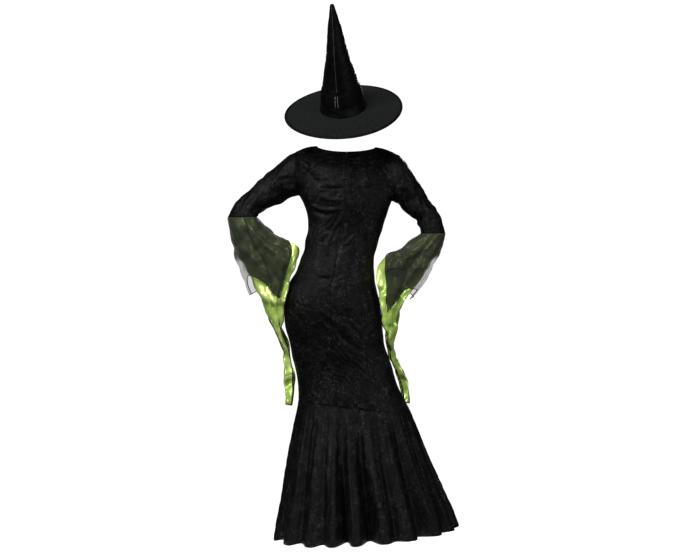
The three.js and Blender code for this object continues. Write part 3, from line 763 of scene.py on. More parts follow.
def panelGrid(isBack, first, last, columnCount, rowCount):
    shares = spreadShares(columnCount, panelSizes["edgeSteps"], True)
    across = mix(first, last, shares)[None, :]
    rowShares = spreadShares(rowCount, panelSizes["kneeSteps"], False)
    rows = (rowShares * kneeRow)[:, None]
    across, rows = np.broadcast_arrays(across, rows)
    points = panelPoint(isBack, across, rows)
    points = roundedYoke(points, rows)
    points[-1, :, 2] += cloth["kneeGap"]
    normals = gridNormals(points, False)
    push = creasePush(points, backCreases if isBack else frontCreases)
    push += wrinklePatches(points, backWrinkles if isBack else frontWrinkles)
    push += wrinklePush(points, 1.3 if isBack else 2.9, 0.9)
    push *= smoothStep((kneeRow - rows) / panelFade["knee"])
    push += seamPush(across, rows)
    if isBack:
        push += centrePush(across, points)
    edgeFade = smoothStep((1 - np.abs(across)) * panelFade["side"])
    topFade = smoothStep(rows / panelFade["top"])
    push *= mix(panelFade["least"], 1, np.minimum(edgeFade, topFade))
    points = points + normals * push[..., None]
    outward = 1 if isBack else -1
    atSide = (np.abs(across) > 0.9995) & (rows >= rowCounts["yoke"])
    atShoulder = (rows < 0.001) & (np.abs(across) > necks["share"] - 0.01)
    atCentre = np.abs(across) < 0.0005
    points[..., 1] += outward * cloth["halfSeam"] * (1.4 * atSide + atShoulder)
    if isBack:
        points[..., 0] += (first + last) * cloth["halfSeam"] * 1.2 * atCentre

    def square(normals):
        normals[..., 1] = np.where(atSide | atShoulder, 0, normals[..., 1])
        if isBack:
            normals[..., 0] = np.where(atCentre, 0, normals[..., 0])
        normals[:] = unit(normals)

    return points, square


# Materials

def linear(hexColour):
    values = [int(hexColour[i:i + 2], 16) / 255 for i in (1, 3, 5)]
    return [v / 12.92 if v <= 0.04045 else ((v + 0.055) / 1.055) ** 2.4 for v in values] + [1.0]


def setInputs(node, values):
    for key, value in values.items():
        node.inputs[key].default_value = value


def addNode(tree, kind, inputs=None, links=None, **settings):
    node = tree.nodes.new(kind)
    for key, value in settings.items():
        setattr(node, key, value)
    setInputs(node, inputs or {})
    for key, socket in (links or {}).items():
        tree.links.new(socket, node.inputs[key])
    return node


def newMaterial(name):
    material = bpy.data.materials.new(name)
    material.use_nodes = True
    tree = material.node_tree
    shader = next(node for node in tree.nodes if node.type == "BSDF_PRINCIPLED")
    return material, tree, shader


def colourBy(tree, shader, factor, stops):
    ramp = addNode(tree, "ShaderNodeValToRGB", links={"Fac": factor})
    elements = ramp.color_ramp.elements
    while len(elements) < len(stops):
        elements.new(0.5)
    for element, (position, hexColour) in zip(elements, stops):
        element.position = position
        element.color = linear(hexColour)
    tree.links.new(ramp.outputs["Color"], shader.inputs["Base Color"])


def noiseOf(tree, vector, perMetre, detail=3.0, distortion=0.0):
    sizes = {"Scale": perMetre, "Detail": detail, "Distortion": distortion, "Roughness": 0.6}
    return addNode(tree, "ShaderNodeTexNoise", sizes, {"Vector": vector}).outputs["Fac"]


def mapped(tree, scale=(1, 1, 1), output="Object"):
    coordinates = addNode(tree, "ShaderNodeTexCoord").outputs[output]
    return addNode(tree, "ShaderNodeMapping", {"Scale": scale}, {"Vector": coordinates}).outputs[0]


def ranged(tree, value, fromMin, fromMax, toMin, toMax):
    span = {"From Min": fromMin, "From Max": fromMax, "To Min": toMin, "To Max": toMax}
    return addNode(tree, "ShaderNodeMapRange", span, {"Value": value}).outputs[0]


def combined(tree, operation, first, second):
    return addNode(tree, "ShaderNodeMath", {}, {0: first, 1: second}, operation=operation).outputs[0]


def scaled(tree, value, factor):
    return addNode(tree, "ShaderNodeMath", {1: factor}, {0: value}, operation="MULTIPLY").outputs[0]


def bumped(tree, height, strength, distance, normal=None):
    links = {"Height": height}
    if normal is not None:
        links["Normal"] = normal
    sizes = {"Strength": strength, "Distance": distance}
    return addNode(tree, "ShaderNodeBump", sizes, links).outputs["Normal"]


# A material whose colour follows a soft noise through its stops.
def mottled(name, stops, perMetre, detail=3.0, distortion=0.0):
    material, tree, shader = newMaterial(name)
    spot = mapped(tree)
    colourBy(tree, shader, noiseOf(tree, spot, perMetre, detail, distortion), stops)
    return material, tree, shader, spot


velvetLook = {
    "stretch": (1.0, 1.0, 0.75),
    "patches": (24, 3.0, 0.6),
    "crush": (110, 5.0, 1.8),
    "flakes": (300, 3.0, 1.2),
    "flakeBump": 0.2,
    "bump": 0.9,
    "bumpDistance": 0.0018,
    "sheen": 0.03,
    "sheenRoughness": 0.3,
    "specular": 0.1,
}
# Velvet colour stops, near black up to grey: the grey end is painted sheen on the flakes.
dressSheenStops = [(0.18, "#000000"), (0.24, "#010101"), (0.3, "#0c0d0d"), (0.37, "#333537")]
hatSheenStops = [(0.2, "#000000"), (0.28, "#010101"), (0.34, "#060707"), (0.42, "#1c1d1e")]


# Crushed pile velvet: patches of pile lie different ways, so each flake catches the light or hides it. That
# light is painted into the base colour: the crush pattern is real, and its grey flakes are painted sheen on
# black cloth.
def crushedVelvet(name, stops):
    material, tree, shader = newMaterial(name)
    spot = mapped(tree, velvetLook["stretch"])
    patches, crush, flakes = (noiseOf(tree, spot, *velvetLook[key]) for key in ("patches", "crush", "flakes"))
    softFlakes = ranged(tree, flakes, 0.25, 0.75, 0.41, 0.59)
    nap = ranged(tree, patches, 0.3, 0.7, 0.86, 1.14)
    shine = combined(tree, "MULTIPLY", combined(tree, "MULTIPLY", crush, softFlakes), nap)
    # The base colour follows the shine: painted sheen, lighter where a flake catches the light.
    colourBy(tree, shader, shine, stops)
    tree.links.new(ranged(tree, shine, 0.2, 0.36, 0.56, 0.36), shader.inputs["Roughness"])
    height = combined(tree, "ADD", crush, scaled(tree, flakes, velvetLook["flakeBump"]))
    bump = bumped(tree, height, velvetLook["bump"], velvetLook["bumpDistance"])
    tree.links.new(bump, shader.inputs["Normal"])
    setInputs(shader, {
        "Sheen Weight": velvetLook["sheen"],
        "Sheen Roughness": velvetLook["sheenRoughness"],
        "Sheen Tint": linear("#939393"),
        "Specular IOR Level": velvetLook["specular"],
    })
    return material


satinLook = {
    "warpPerMetre": 1400,
    "threadsPerBand": 6,
    "shadePerMetre": 17,
    "foldPerMetre": 13,
    "foldDepth": 0.05,
    "roughness": 0.3,
    "lustre": 0.3,
    "bump": 0.08,
    "bumpDistance": 0.0004,
}
satinStops = [(0.3, "#9cc452"), (0.5, "#c6e672"), (0.68, "#e6fa9a")]


def greenSatin():
    name = "yellowGreenSatin"
    material, tree, shader, spot = mottled(name, satinStops, satinLook["shadePerMetre"], 3.0, 0.5)
    sizes = {"Scale": satinLook["warpPerMetre"] / satinLook["threadsPerBand"], "Distortion": 0.4}
    links = {"Vector": mapped(tree, output="UV")}
    warp = addNode(tree, "ShaderNodeTexWave", sizes, links, bands_direction="X")
    weave = bumped(tree, warp.outputs["Fac"], satinLook["bump"], satinLook["bumpDistance"])
    folds = noiseOf(tree, spot, satinLook["foldPerMetre"], 0.0, 0.5)
    facets = bumped(tree, folds, 1.0, satinLook["foldDepth"], weave)
    tree.links.new(facets, shader.inputs["Normal"])
    setInputs(shader, {"Roughness": satinLook["roughness"], "Metallic": satinLook["lustre"]})
    return material


netLook = {"lined": 0.56, "bare": 0.22, "holesPerMetre": 700}


# Even black net, too fine to cut, so its wall lets part of the light through.
def blackNet():
    material, tree, shader = newMaterial("sheerBlackNet")
    links = {"Vector": mapped(tree, output="UV")}
    holes = addNode(tree, "ShaderNodeTexVoronoi", {"Scale": netLook["holesPerMetre"]}, links)
    colourBy(tree, shader, holes.outputs["Distance"], [(0.2, "#0c0d0c"), (0.6, "#1b1d1a")])
    bare = addNode(tree, "ShaderNodeAttribute", attribute_name="bare").outputs["Fac"]
    cover = ranged(tree, bare, 0, 1, netLook["lined"], netLook["bare"])
    tree.links.new(cover, shader.inputs["Alpha"])
    setInputs(shader, {"Roughness": 0.6, "Specular IOR Level": 0.3, "Sheen Weight": 0.2})
    material.surface_render_method = "BLENDED"
    return material


def brimFelt():
    stops = [(0.38, "#020303"), (0.62, "#101213")]
    material, tree, shader, spot = mottled("pressedBlackFelt", stops, 110, 6.0)
    fibre = noiseOf(tree, spot, 1100, 3.0, 1.0)
    tree.links.new(bumped(tree, fibre, 0.3, 0.0006), shader.inputs["Normal"])
    setInputs(shader, {
        "Roughness": 0.95,
        "Sheen Weight": 0.1,
        "Sheen Tint": linear("#8a8e90"),
        "Specular IOR Level": 0.2,
    })
    return material


def blackSatin():
    stops = [(0.3, "#010101"), (0.7, "#070708")]
    material, tree, shader, spot = mottled("blackBandSatin", stops, 70, 3.0, 0.6)
    setInputs(shader, {"Roughness": 0.62, "Specular IOR Level": 0.06})
    return material


def plainBlack(name, low, high, roughness, perMetre, metallic=0.0):
    material, tree, shader, spot = mottled(name, [(0.35, low), (0.65, high)], perMetre)
    setInputs(shader, {"Roughness": roughness, "Metallic": metallic})
    return material


materials = {
    "velvet": crushedVelvet("crushedPileVelvet", dressSheenStops),
    "hatVelvet": crushedVelvet("darkPileVelvet", hatSheenStops),
    "satin": greenSatin(),
    "net": blackNet(),
    "felt": brimFelt(),
    "band": blackSatin(),
    "thread": plainBlack("blackOverlockThread", "#040404", "#0d0d0d", 0.8, 1500),
    "tape": plainBlack("wovenZipTape", "#0d0d0e", "#1a1b1c", 0.8, 1800),
    # Light grey for the cone's seam cord: a painted highlight.
    "seamHighlightPaint": plainBlack("pressedSeamPile", "#202122", "#3c3d3f", 0.6, 300),
    # Light grey for the band's two strokes: painted glints.
    "bandGlintPaint": plainBlack("satinFoldEdge", "#6b6c6c", "#8c8d8d", 0.4, 300),
    "enamel": plainBlack("blackEnamelledZinc", "#101112", "#1b1c1e", 0.35, 400, 0.3),
}


# Camera, lights and floor

view = {"place": (-15, 5000, -495), "lens": 68.57, "sensor": 36, "farthest": 50}
# Place in metres, the height that the light looks at, its width and its power.
lights = {
    "keyLight": [(3.3, 3.0, 1.1), -0.6, 0.8, 70],
    "fillLight": [(-3.4, 3.4, 0.2), -0.7, 1.2, 75],
    "topLight": [(1.3, 3.0, 2.9), -0.5, 1.8, 165],
    "frontKey": [(-0.9, -4.6, 1.3), -0.5, 1.4, 80],
}
floor = {"half": 430, "level": -1513}
backdrop = {"half": 9700, "y": -30000, "low": -8400, "high": 7400}
roomStrength = 0.06


def staged(name, data, place):
    obj = bpy.data.objects.new(name, data)
    obj.location = Vector(place)
    bpy.context.scene.collection.objects.link(obj)
    return obj


def addCamera():
    data = bpy.data.cameras.new("camera")
    data.lens = view["lens"]
    data.sensor_width = view["sensor"]
    data.clip_end = view["farthest"]
    camera = staged("camera", data, Vector(view["place"]) * metre)
    camera.rotation_euler = (math.pi / 2, 0, math.pi)
    bpy.context.scene.camera = camera


def addLights():
    for name, (place, height, size, power) in lights.items():
        data = bpy.data.lights.new(name, "AREA")
        data.shape = "DISK"
        data.size = size
        data.energy = power
        light = staged(name, data, place)
        ray = Vector((0, 0, height)) - light.location
        light.rotation_euler = ray.to_track_quat("-Z", "Y").to_euler()
    world = bpy.data.worlds.new("whiteRoom")
    world.use_nodes = True
    background = next(node for node in world.node_tree.nodes if node.type == "BACKGROUND")
    setInputs(background, {"Color": (1, 1, 1, 1), "Strength": roomStrength})
    bpy.context.scene.world = world


def whiteSheet(name, corners):
    material, tree, shader = newMaterial(name + "White")
    white = linear("#ffffff")
    glow = {"Emission Color": white, "Emission Strength": 1.0}
    setInputs(shader, {"Base Color": white, "Roughness": 0.9, **glow})
    meshObject(name, np.array(corners, float), [(0, 1, 2, 3)], material)


def addFloor():
    half = floor["half"]
    z = floor["level"]
    whiteSheet("floor", [[-half, -half, z], [half, -half, z], [half, half, z], [-half, half, z]])
    half, y, low, high = backdrop.values()
    whiteSheet("backdrop", [[half, y, low], [-half, y, low], [-half, y, high], [half, y, high]])


addCamera()
addLights()
addFloor()
bpy.context.scene.view_settings.view_transform = "Standard"
print("stage ready")


def place(obj, node, slotName):
    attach(obj, "costume")
    if node:
        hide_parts(node)
    return obj


def velvetPiece(name, points, **settings):
    piece = clothWall(name + "_velvet", points, cloth["velvet"], materials["velvet"], **settings)
    place(piece, name, "velvet")


# Stitches

stitch = {
    "pitch": 3.6,
    "length": 2.6,
    "thickness": 0.7,
    "raise": 0.25,
    "fromZip": 7,
    "fromNeck": 6,
    "neckHalf": 84,
}


# Copies one short thread to even steps of a run of edges, and lays it along them.
def stitchTree():
    tree = bpy.data.node_groups.new("stitchRun", "GeometryNodeTree")
    face = tree.interface
    face.new_socket("Run", in_out="INPUT", socket_type="NodeSocketGeometry")
    face.new_socket("Stitches", in_out="OUTPUT", socket_type="NodeSocketGeometry")
    for name in ("Pitch", "Length", "Thickness"):
        face.new_socket(name, in_out="INPUT", socket_type="NodeSocketFloat")
    face.new_socket("Thread", in_out="INPUT", socket_type="NodeSocketMaterial")
    start = addNode(tree, "NodeGroupInput")
    end = addNode(tree, "NodeGroupOutput")
    curve = addNode(tree, "GeometryNodeMeshToCurve", {}, {"Mesh": start.outputs["Run"]})
    links = {"Curve": curve.outputs["Curve"], "Length": start.outputs["Pitch"]}
    steps = addNode(tree, "GeometryNodeResampleCurve", {}, links, mode="LENGTH")
    links = {"Radius": scaled(tree, start.outputs["Thickness"], 0.5), "Depth": start.outputs["Length"]}
    thread = addNode(tree, "GeometryNodeMeshCylinder", {"Vertices": 6}, links)
    tangent = addNode(tree, "GeometryNodeInputTangent")
    turned = addNode(tree, "FunctionNodeAlignRotationToVector", {}, {"Vector": tangent.outputs[0]}, axis="Z")
    links = {"Points": steps.outputs[0], "Instance": thread.outputs["Mesh"], "Rotation": turned.outputs[0]}
    copies = addNode(tree, "GeometryNodeInstanceOnPoints", {}, links)
    real = addNode(tree, "GeometryNodeRealizeInstances", {}, {"Geometry": copies.outputs[0]})
    links = {"Geometry": real.outputs[0], "Material": start.outputs["Thread"]}
    dressed = addNode(tree, "GeometryNodeSetMaterial", {}, links)
    tree.links.new(dressed.outputs[0], end.inputs["Stitches"])
    return tree


stitchNodes = stitchTree()


def sewnRun(name, route, slotName="velvet", closed=False):
    count = len(route)
    edges = [(index, (index + 1) % count) for index in range(count if closed else count - 1)]
    mesh = bpy.data.meshes.new(name)
    mesh.from_pydata((np.asarray(route) * metre).tolist(), edges, [])
    obj = bpy.data.objects.new(name, mesh)
    bpy.context.scene.collection.objects.link(obj)
    modifier = obj.modifiers.new("stitches", "NODES")
    modifier.node_group = stitchNodes
    values = {key.capitalize(): stitch[key] * metre for key in ("pitch", "length", "thickness")}
    values["Thread"] = materials["thread"]
    for item in stitchNodes.interface.items_tree:
        if item.name in values:
            modifier[item.identifier] = values[item.name]
    graph = bpy.context.evaluated_depsgraph_get()
    obj.data = bpy.data.meshes.new_from_object(obj.evaluated_get(graph))
    obj.modifiers.clear()
    return place(obj, None, slotName)


# Dress panels

def raised(points, closed=False):
    return points + gridNormals(points, closed) * stitch["raise"]


# One row of stitches along the neck edge, and on a back panel one beside the zip.
def sewPanel(name, isBack, points):
    lifted = raised(points)
    down = np.linalg.norm(points - points[:1], axis=-1)
    row = int(np.argmax(down[:, points.shape[1] // 2] > stitch["fromNeck"]))
    neck = lifted[row, np.abs(points[row, :, 0]) < stitch["neckHalf"]]
    sewnRun(name + "_neck_stitches", neck)
    if isBack:
        column = int(np.argmin(np.abs(np.abs(points[row, :, 0]) - stitch["fromZip"])))
        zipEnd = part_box("zip_tape")[0][2] / metre
        rows = points[:, column, 2] > zipEnd
        rows[0] = False
        sewnRun(name + "_zip_stitches", lifted[rows, column])


def buildPanels():
    for name, isBack, first, last in (
        ("back_panel_left", True, 1, 0),
        ("back_panel_right", True, 0, -1),
        ("front_panel", False, -1, 1),
    ):
        columns = panelSizes["columns"] * (1 if isBack else 2)
        points, square = panelGrid(isBack, first, last, columns, panelSizes["rows"])
        velvetPiece(name, points, square=square)
        sewPanel(name, isBack, points)
        print(name, "made")


# Sleeves

sleeveSizes = {"columns": 96, "rows": 72, "cadRows": 7, "creaseHeight": 1.5, "wrinkles": 1.6}
sleeveGather = {"height": 2.5, "round": 2, "along": 2.4}
sleeveSeam = {"depth": 1.2, "reach": 0.12, "fadeTop": 0.5, "fadeEnd": 0.3, "least": 0.15}
# angle round the sleeve, start row, end row, twist, width in degrees, height
sleeveCreases = {
    1: [
        [60, 0.2, 3.2, 50, 9, 2.6], [95, 0.1, 2.6, -30, 8, -2.4], [130, 0.2, 2.4, -40, 9, 2.6],
        [20, 1.2, 4.4, 50, 10, 2.2], [160, 2.4, 5.6, -60, 9, 2.4], [100, 3.6, 6.6, 40, 9, 2.4],
        [60, 4.2, 6.8, 50, 8, -2.0], [200, 3.2, 6.4, 40, 9, 2.6], [250, 0.3, 3.4, -40, 10, 2.4],
        [300, 0.3, 2.8, 40, 9, -2.2], [320, 3.4, 6.4, -50, 10, 2.2], [170, 5.2, 6.9, 60, 8, 2.6],
    ],
    -1: [
        [50, 0.2, 2.8, 40, 9, 2.4], [100, 0.3, 2.4, -30, 8, 2.2], [140, 0.1, 2.2, -50, 9, -2.4],
        [80, 2.0, 4.2, 60, 8, 2.8], [60, 2.6, 4.8, 60, 7, -2.4], [100, 3.2, 5.4, 70, 8, 2.6],
        [90, 4.4, 6.6, 60, 8, 2.4], [170, 3.4, 6.2, -50, 9, 2.6], [200, 5.0, 6.9, 50, 8, 2.6],
        [250, 0.3, 3.4, 40, 10, 2.4], [300, 1.3, 4.4, -40, 9, -2.2], [320, 4.0, 6.7, 50, 10, 2.2],
    ],
}


def tubeCreasePush(angles, rows, creases):
    push = np.zeros(np.broadcast_shapes(angles.shape, rows.shape))
    for turn, startRow, endRow, twist, width, height in creases:
        along = (rows - startRow) / (endRow - startRow)
        middle = turn + twist * (along - 0.5)
        taper = np.sin(np.clip(along, 0, 1) * math.pi) ** 0.7
        push = push + height * bell(turnFrom(angles, middle), width) * taper
    return push


def sleeveGrid(side):
    last = sleeveSizes["cadRows"]
    angles = roundAngles(sleeveSizes["columns"])
    rows = np.linspace(0, last, sleeveSizes["rows"] + 1)[:, None]
    rows, angles = np.broadcast_arrays(rows, angles)
    rings = sleeveRings[side]
    section = sectionAt(rings, rows / last * (len(rings) - 1))
    points = ovalPoint(section, angles)
    wave = np.sin(angles * sleeveGather["round"] + rows * sleeveGather["along"])
    gather = sleeveGather["height"] * np.sin(rows / last * math.pi) * wave
    points = points + away(points, ovalCentre(section)) * gather[..., None]
    edge = armholePoint(armholes[side], angles)
    edge[..., 0] += side * cloth["sleeveGap"]
    points = mix(edge, points, smoothStep(rows)[..., None])
    push = sleeveSizes["creaseHeight"] * tubeCreasePush(angles, rows, sleeveCreases[side])
    push = push + wrinklePush(points, side * 1.7, sleeveSizes["wrinkles"])
    fadeEnd = smoothStep((last - rows) / sleeveSeam["fadeEnd"])
    ends = np.minimum(smoothStep(rows / sleeveSeam["fadeTop"]), fadeEnd)
    push = push * mix(sleeveSeam["least"], 1, ends)
    push = push - sleeveSeam["depth"] * bell(rows, sleeveSeam["reach"])
    return points + gridNormals(points, True) * side * push[..., None]


def buildSleeves():
    for side, word in sides:
        velvetPiece("sleeve_" + word, sleeveGrid(side), closed=True, flip=side < 0)
    print("sleeves made")


# Bell cuffs of satin with their tails, and the net over them

cuffSizes = {"columns": 160, "rows": 64, "tailRows": 72, "netRows": 56}
# angle round the cuff, start and end ring numbers, twist in degrees, width in degrees, height
cuffCreases = {
    1: [
        [150, 0.6, 3.6, 30, 7, 5], [120, 0.4, 3.2, 24, 6, -5], [100, 0.2, 4.6, -18, 5, 4],
        [70, 0.3, 4.4, -24, 8, -4], [35, 0.6, 4.6, -14, 7, 4], [170, 1.2, 3.8, -20, 6, -5],
        [135, 1.4, 4.4, -20, 5, 4], [60, 1.8, 5.0, 18, 5, 3.5], [215, 0.8, 3.6, 24, 8, 5],
        [260, 0.6, 4.2, -20, 9, -4], [300, 0.6, 4.4, 20, 8, 4], [340, 0.8, 4.6, -14, 8, -4],
    ],
    -1: [
        [150, 0.8, 4.4, 26, 7, 5], [125, 0.6, 3.8, 30, 6, -5], [105, 1.6, 5.6, -26, 5, 4.5],
        [75, 0.4, 5.2, -20, 8, -4], [40, 0.8, 5.6, -14, 8, 4], [170, 1.4, 4.4, -24, 6, -5],
        [135, 2.2, 5.0, -20, 5, 4.5], [60, 2.4, 6.2, 16, 5, 3], [215, 0.8, 4.4, 24, 8, 5],
        [260, 0.6, 5.2, -20, 9, -4], [300, 0.8, 5.4, 20, 8, 4], [340, 0.8, 5.6, -14, 8, -4],
    ],
}


# Crisp cloth breaks into flat facets with sharp valleys between them.
def crumplePush(points, seed):
    x, y, z = parts(points)
    push = 1.3 * np.abs(np.sin((x + 0.35 * z) / 30 + 1.3 * np.sin(z / 47 + seed)))
    push = push + np.abs(np.sin((0.5 * x + z) / 42 + 1.2 * np.sin(x / 37 - seed)))
    push = push + 0.35 * np.abs(np.sin((z - 0.6 * x + y) / 17 + 1.2 * np.sin(x / 21 + 2 * seed)))
    return push - 1.6


cuffFold = {
    "creases": 1.2,
    "crumple": 5,
    "seed": 0.8,
    "fadeTop": 1.1,
    "hemLess": 0.7,
    "hem": 0.5,
    "hemOver": 0.6,
}


def cuffFolds(side, points, angles, numbers, end):
    push = cuffFold["creases"] * tubeCreasePush(angles, numbers, cuffCreases[side])
    push = push + cuffFold["crumple"] * crumplePush(points, cuffFold["seed"] + side)
    hem = smoothStep((numbers - end + cuffFold["hem"]) / cuffFold["hemOver"])
    return push * (smoothStep(numbers / cuffFold["fadeTop"]) * (1 - cuffFold["hemLess"] * hem))


def cuffGridColumns():
    return (np.arange(cuffSizes["columns"]) / cuffSizes["columns"] * cuffColumns)[None, :]


def satinGrid(side):
    cuff = cuffs[side]
    columns = cuffGridColumns()
    end = hemEnd(cuff, "satinHem", columns)
    upper = mix(cloth["elbowNumber"], end, np.linspace(0, 1, cuffSizes["rows"] + 1)[:, None])
    lastNumber = len(cuff["rings"]) - 1
    lower = mix(end, lastNumber, np.linspace(0, 1, cuffSizes["tailRows"] + 1)[1:, None])
    numbers = np.concatenate([upper, lower])
    columns = np.broadcast_to(columns, numbers.shape)
    points = satinPoint(cuff, columns, numbers)
    angles = columns / cuffColumns * 2 * math.pi
    push = cuffFolds(side, cuffPoint(cuff, columns, numbers), angles, numbers, end)
    below = np.clip(numbers - end, 0, None)
    tailWave = 3.2 * np.sin(numbers * 3.1 + columns * 0.9 + side)
    tailWave = tailWave + 2.2 * np.sin(numbers * 5.3 - columns * 1.3)
    push = push + tailWave * smoothStep(below / 0.8)
    turn = signedColumns(columns)
    tailCells = (turn >= tail["first"] - tail["slack"]) & (turn < tail["last"] - tail["slack"])
    isLower = (np.arange(numbers.shape[0] - 1) >= cuffSizes["rows"])[:, None]
    keep = tailCells[:-1] | ~isLower
    return points + gridNormals(points, True) * side * push[..., None], keep, columns


netHang = {"lift": 0.5, "clearFrom": 1.2, "hangFrom": 1, "hangOver": 3, "edge": 0.25, "bareFrom": 0.3}


def netGrid(side):
    cuff = cuffs[side]
    columns = cuffGridColumns()
    end = hemEnd(cuff, "netHem", columns)
    numbers = mix(cloth["elbowNumber"], end, np.linspace(0, 1, cuffSizes["netRows"] + 1)[:, None])
    columns = np.broadcast_to(columns, numbers.shape)
    points = cuffPoint(cuff, columns, numbers)
    angles = columns / cuffColumns * 2 * math.pi
    outer = np.maximum(0, np.cos(angles)) ** 3
    low = cloth["net"] + netHang["lift"]
    high = cloth["netClearance"] + cloth["net"]
    clear = mix(low, high, smoothStep(numbers / netHang["clearFrom"]))
    hanging = outer * smoothStep((numbers - netHang["hangFrom"]) / netHang["hangOver"])
    clear = clear + cuff["swing"] * hanging
    satinEnd = hemEnd(cuff, "satinHem", columns)
    clear = clear + cuffFolds(side, points, angles, numbers, satinEnd)
    beyondSatin = smoothStep((numbers - satinEnd) / netHang["edge"])
    offSatin = smoothStep((hanging - netHang["bareFrom"]) / netHang["edge"])
    bare = np.maximum(beyondSatin, offSatin)
    return points + gridNormals(points, True) * side * clear[..., None], bare


# Faces of a tube whose rings have the same number of points each.
def tubeFaces(rings, size, closed, inward=False):
    faces = []
    for ring in range(rings if closed else rings - 1):
        following = (ring + 1) % rings
        for corner in range(size):
            after = (corner + 1) % size
            places = [(ring, corner), (ring, after), (following, after), (following, corner)]
            if inward:
                places = [places[index] for index in (0, 3, 2, 1)]
            faces.append([turn * size + point for turn, point in places])
    return faces


def edgeCord(name, route, width, thickness, look="thread", slotName="net", closed=True):
    count = len(route)
    ahead = np.roll(route, -1, axis=0) - np.roll(route, 1, axis=0)
    if not closed:
        ahead[0] = route[1] - route[0]
        ahead[-1] = route[-1] - route[-2]
    ahead = unit(ahead)
    up = unit(np.cross(ahead, np.array([0.3, 1.0, 0.2])))
    side = np.cross(ahead, up)
    sections = 8
    turns = roundAngles(sections)[..., None]
    ring = np.cos(turns) * up[:, None] * width / 2 + np.sin(turns) * side[:, None] * thickness / 2
    points = route[:, None] + ring
    faces = tubeFaces(count, sections, closed)
    if not closed:
        faces.append(tuple(range(sections))[::-1])
        faces.append(tuple(range((count - 1) * sections, count * sections)))
    place(meshObject(name, points.reshape(-1, 3), faces, materials[look]), None, slotName)


# The hem's route: along the mouth, and down and up the tail's two edges.
def satinHemRoute(side, points, columns):
    turn = signedColumns(columns[0])
    order = np.argsort(turn)
    ordered = turn[order]
    hemRow = cuffSizes["rows"]
    inTail = order[(ordered >= tail["first"] - tail["slack"]) & (ordered <= tail["last"] + tail["slack"])]
    after = order[ordered > tail["last"] + tail["slack"]]
    before = order[ordered < tail["first"] - tail["slack"]]
    route = [points[row, inTail[0]] for row in range(hemRow, points.shape[0] - 1, 1)]
    route += [points[-1, column] for column in inTail]
    route += [points[row, inTail[-1]] for row in range(points.shape[0] - 2, hemRow - 1, -1)]
    route += [points[hemRow, column] for column in after]
    route += [points[hemRow, column] for column in before]
    return np.array(route)


# A seam drawn on the net, as ring numbers and angles.
netSeams = {
    1: [[0.1, 97], [0.6, 92], [1.6, 80], [2.7, 72], [3.8, 76], [4.6, 82]],
    -1: [[0.15, 60], [1.2, 66], [2.2, 73], [3.3, 77], [3.7, 84], [3.8, 100], [4.0, 122], [4.15, 134]],
}


def onNet(side, net, number, angle):
    column = angle / 360 * cuffSizes["columns"]
    end = float(lineAt(cuffs[side]["netHem"], angle))
    row = (number - cloth["elbowNumber"]) / (end - cloth["elbowNumber"]) * cuffSizes["netRows"]
    row = min(max(row, 0), cuffSizes["netRows"] - 1.001)
    above = int(row)
    first = int(column)
    share = column - first
    upper = mix(net[above, first], net[above, first + 1], share)
    lower = mix(net[above + 1, first], net[above + 1, first + 1], share)
    return mix(upper, lower, row - above)


def netSeamRoute(side, net):
    table = np.array(netSeams[side], float)
    steps = np.linspace(0, len(table) - 1, 90)
    rows = smoothRows(table, np.arange(len(table)), steps)
    route = np.array([onNet(side, net, number, angle) for number, angle in rows])
    return route + np.array([0, 0.6, 0])


def buildCuffs():
    for side, word in sides:
        wall = {"closed": True, "flip": side < 0}
        points, keep, columns = satinGrid(side)
        name = "satin_cuff_" + word
        satin = clothWall(name + "_cloth", points, cloth["satin"], materials["satin"], keep=keep, **wall)
        place(satin, name, "satin")
        edgeCord(name + "_overlock", satinHemRoute(side, points, columns), 4, 2.4)
        points, bare = netGrid(side)
        name = "net_cuff_" + word
        net = clothWall(name + "_cloth", points, cloth["net"], materials["net"], bare=bare, **wall)
        place(net, name, "net")
        edgeCord(name + "_overlock", points[-1], 3.2, 2.2)
        edgeCord(name + "_seam", netSeamRoute(side, points), 4, 1.6, closed=False)
    print("cuffs made")


# Flounce, with its front half lapped under the back one at the side seams

flounceSizes = {
    "perFold": 20,
    "rows": 60,
    "hemRows": 3,
    "lap": 4,
    "allowance": 4,
    "allowanceDepth": 3.2,
    "allowanceThickness": 1,
    "allowanceColumns": 240,
}
hemWave = {"height": 10, "start": 82}
grooves = {"sharpness": 1.6, "top": 0.03, "deepening": 1.1, "seamFade": 7}
# Fine creases down the folds, and puckers gathered at the knee seam: the count is in waves round the hem.
fineCreases = {"height": 1.6, "count": 61, "slant": 3, "fade": 4, "wrinkles": 1.2, "edgeColumns": 12}
puckerSizes = {
    "height": 1.6,
    "count": 74,
    "wander": 2,
    "wanderCount": 9,
    "reach": 0.05,
    "start": 0.03,
    "seam": 0.008,
}


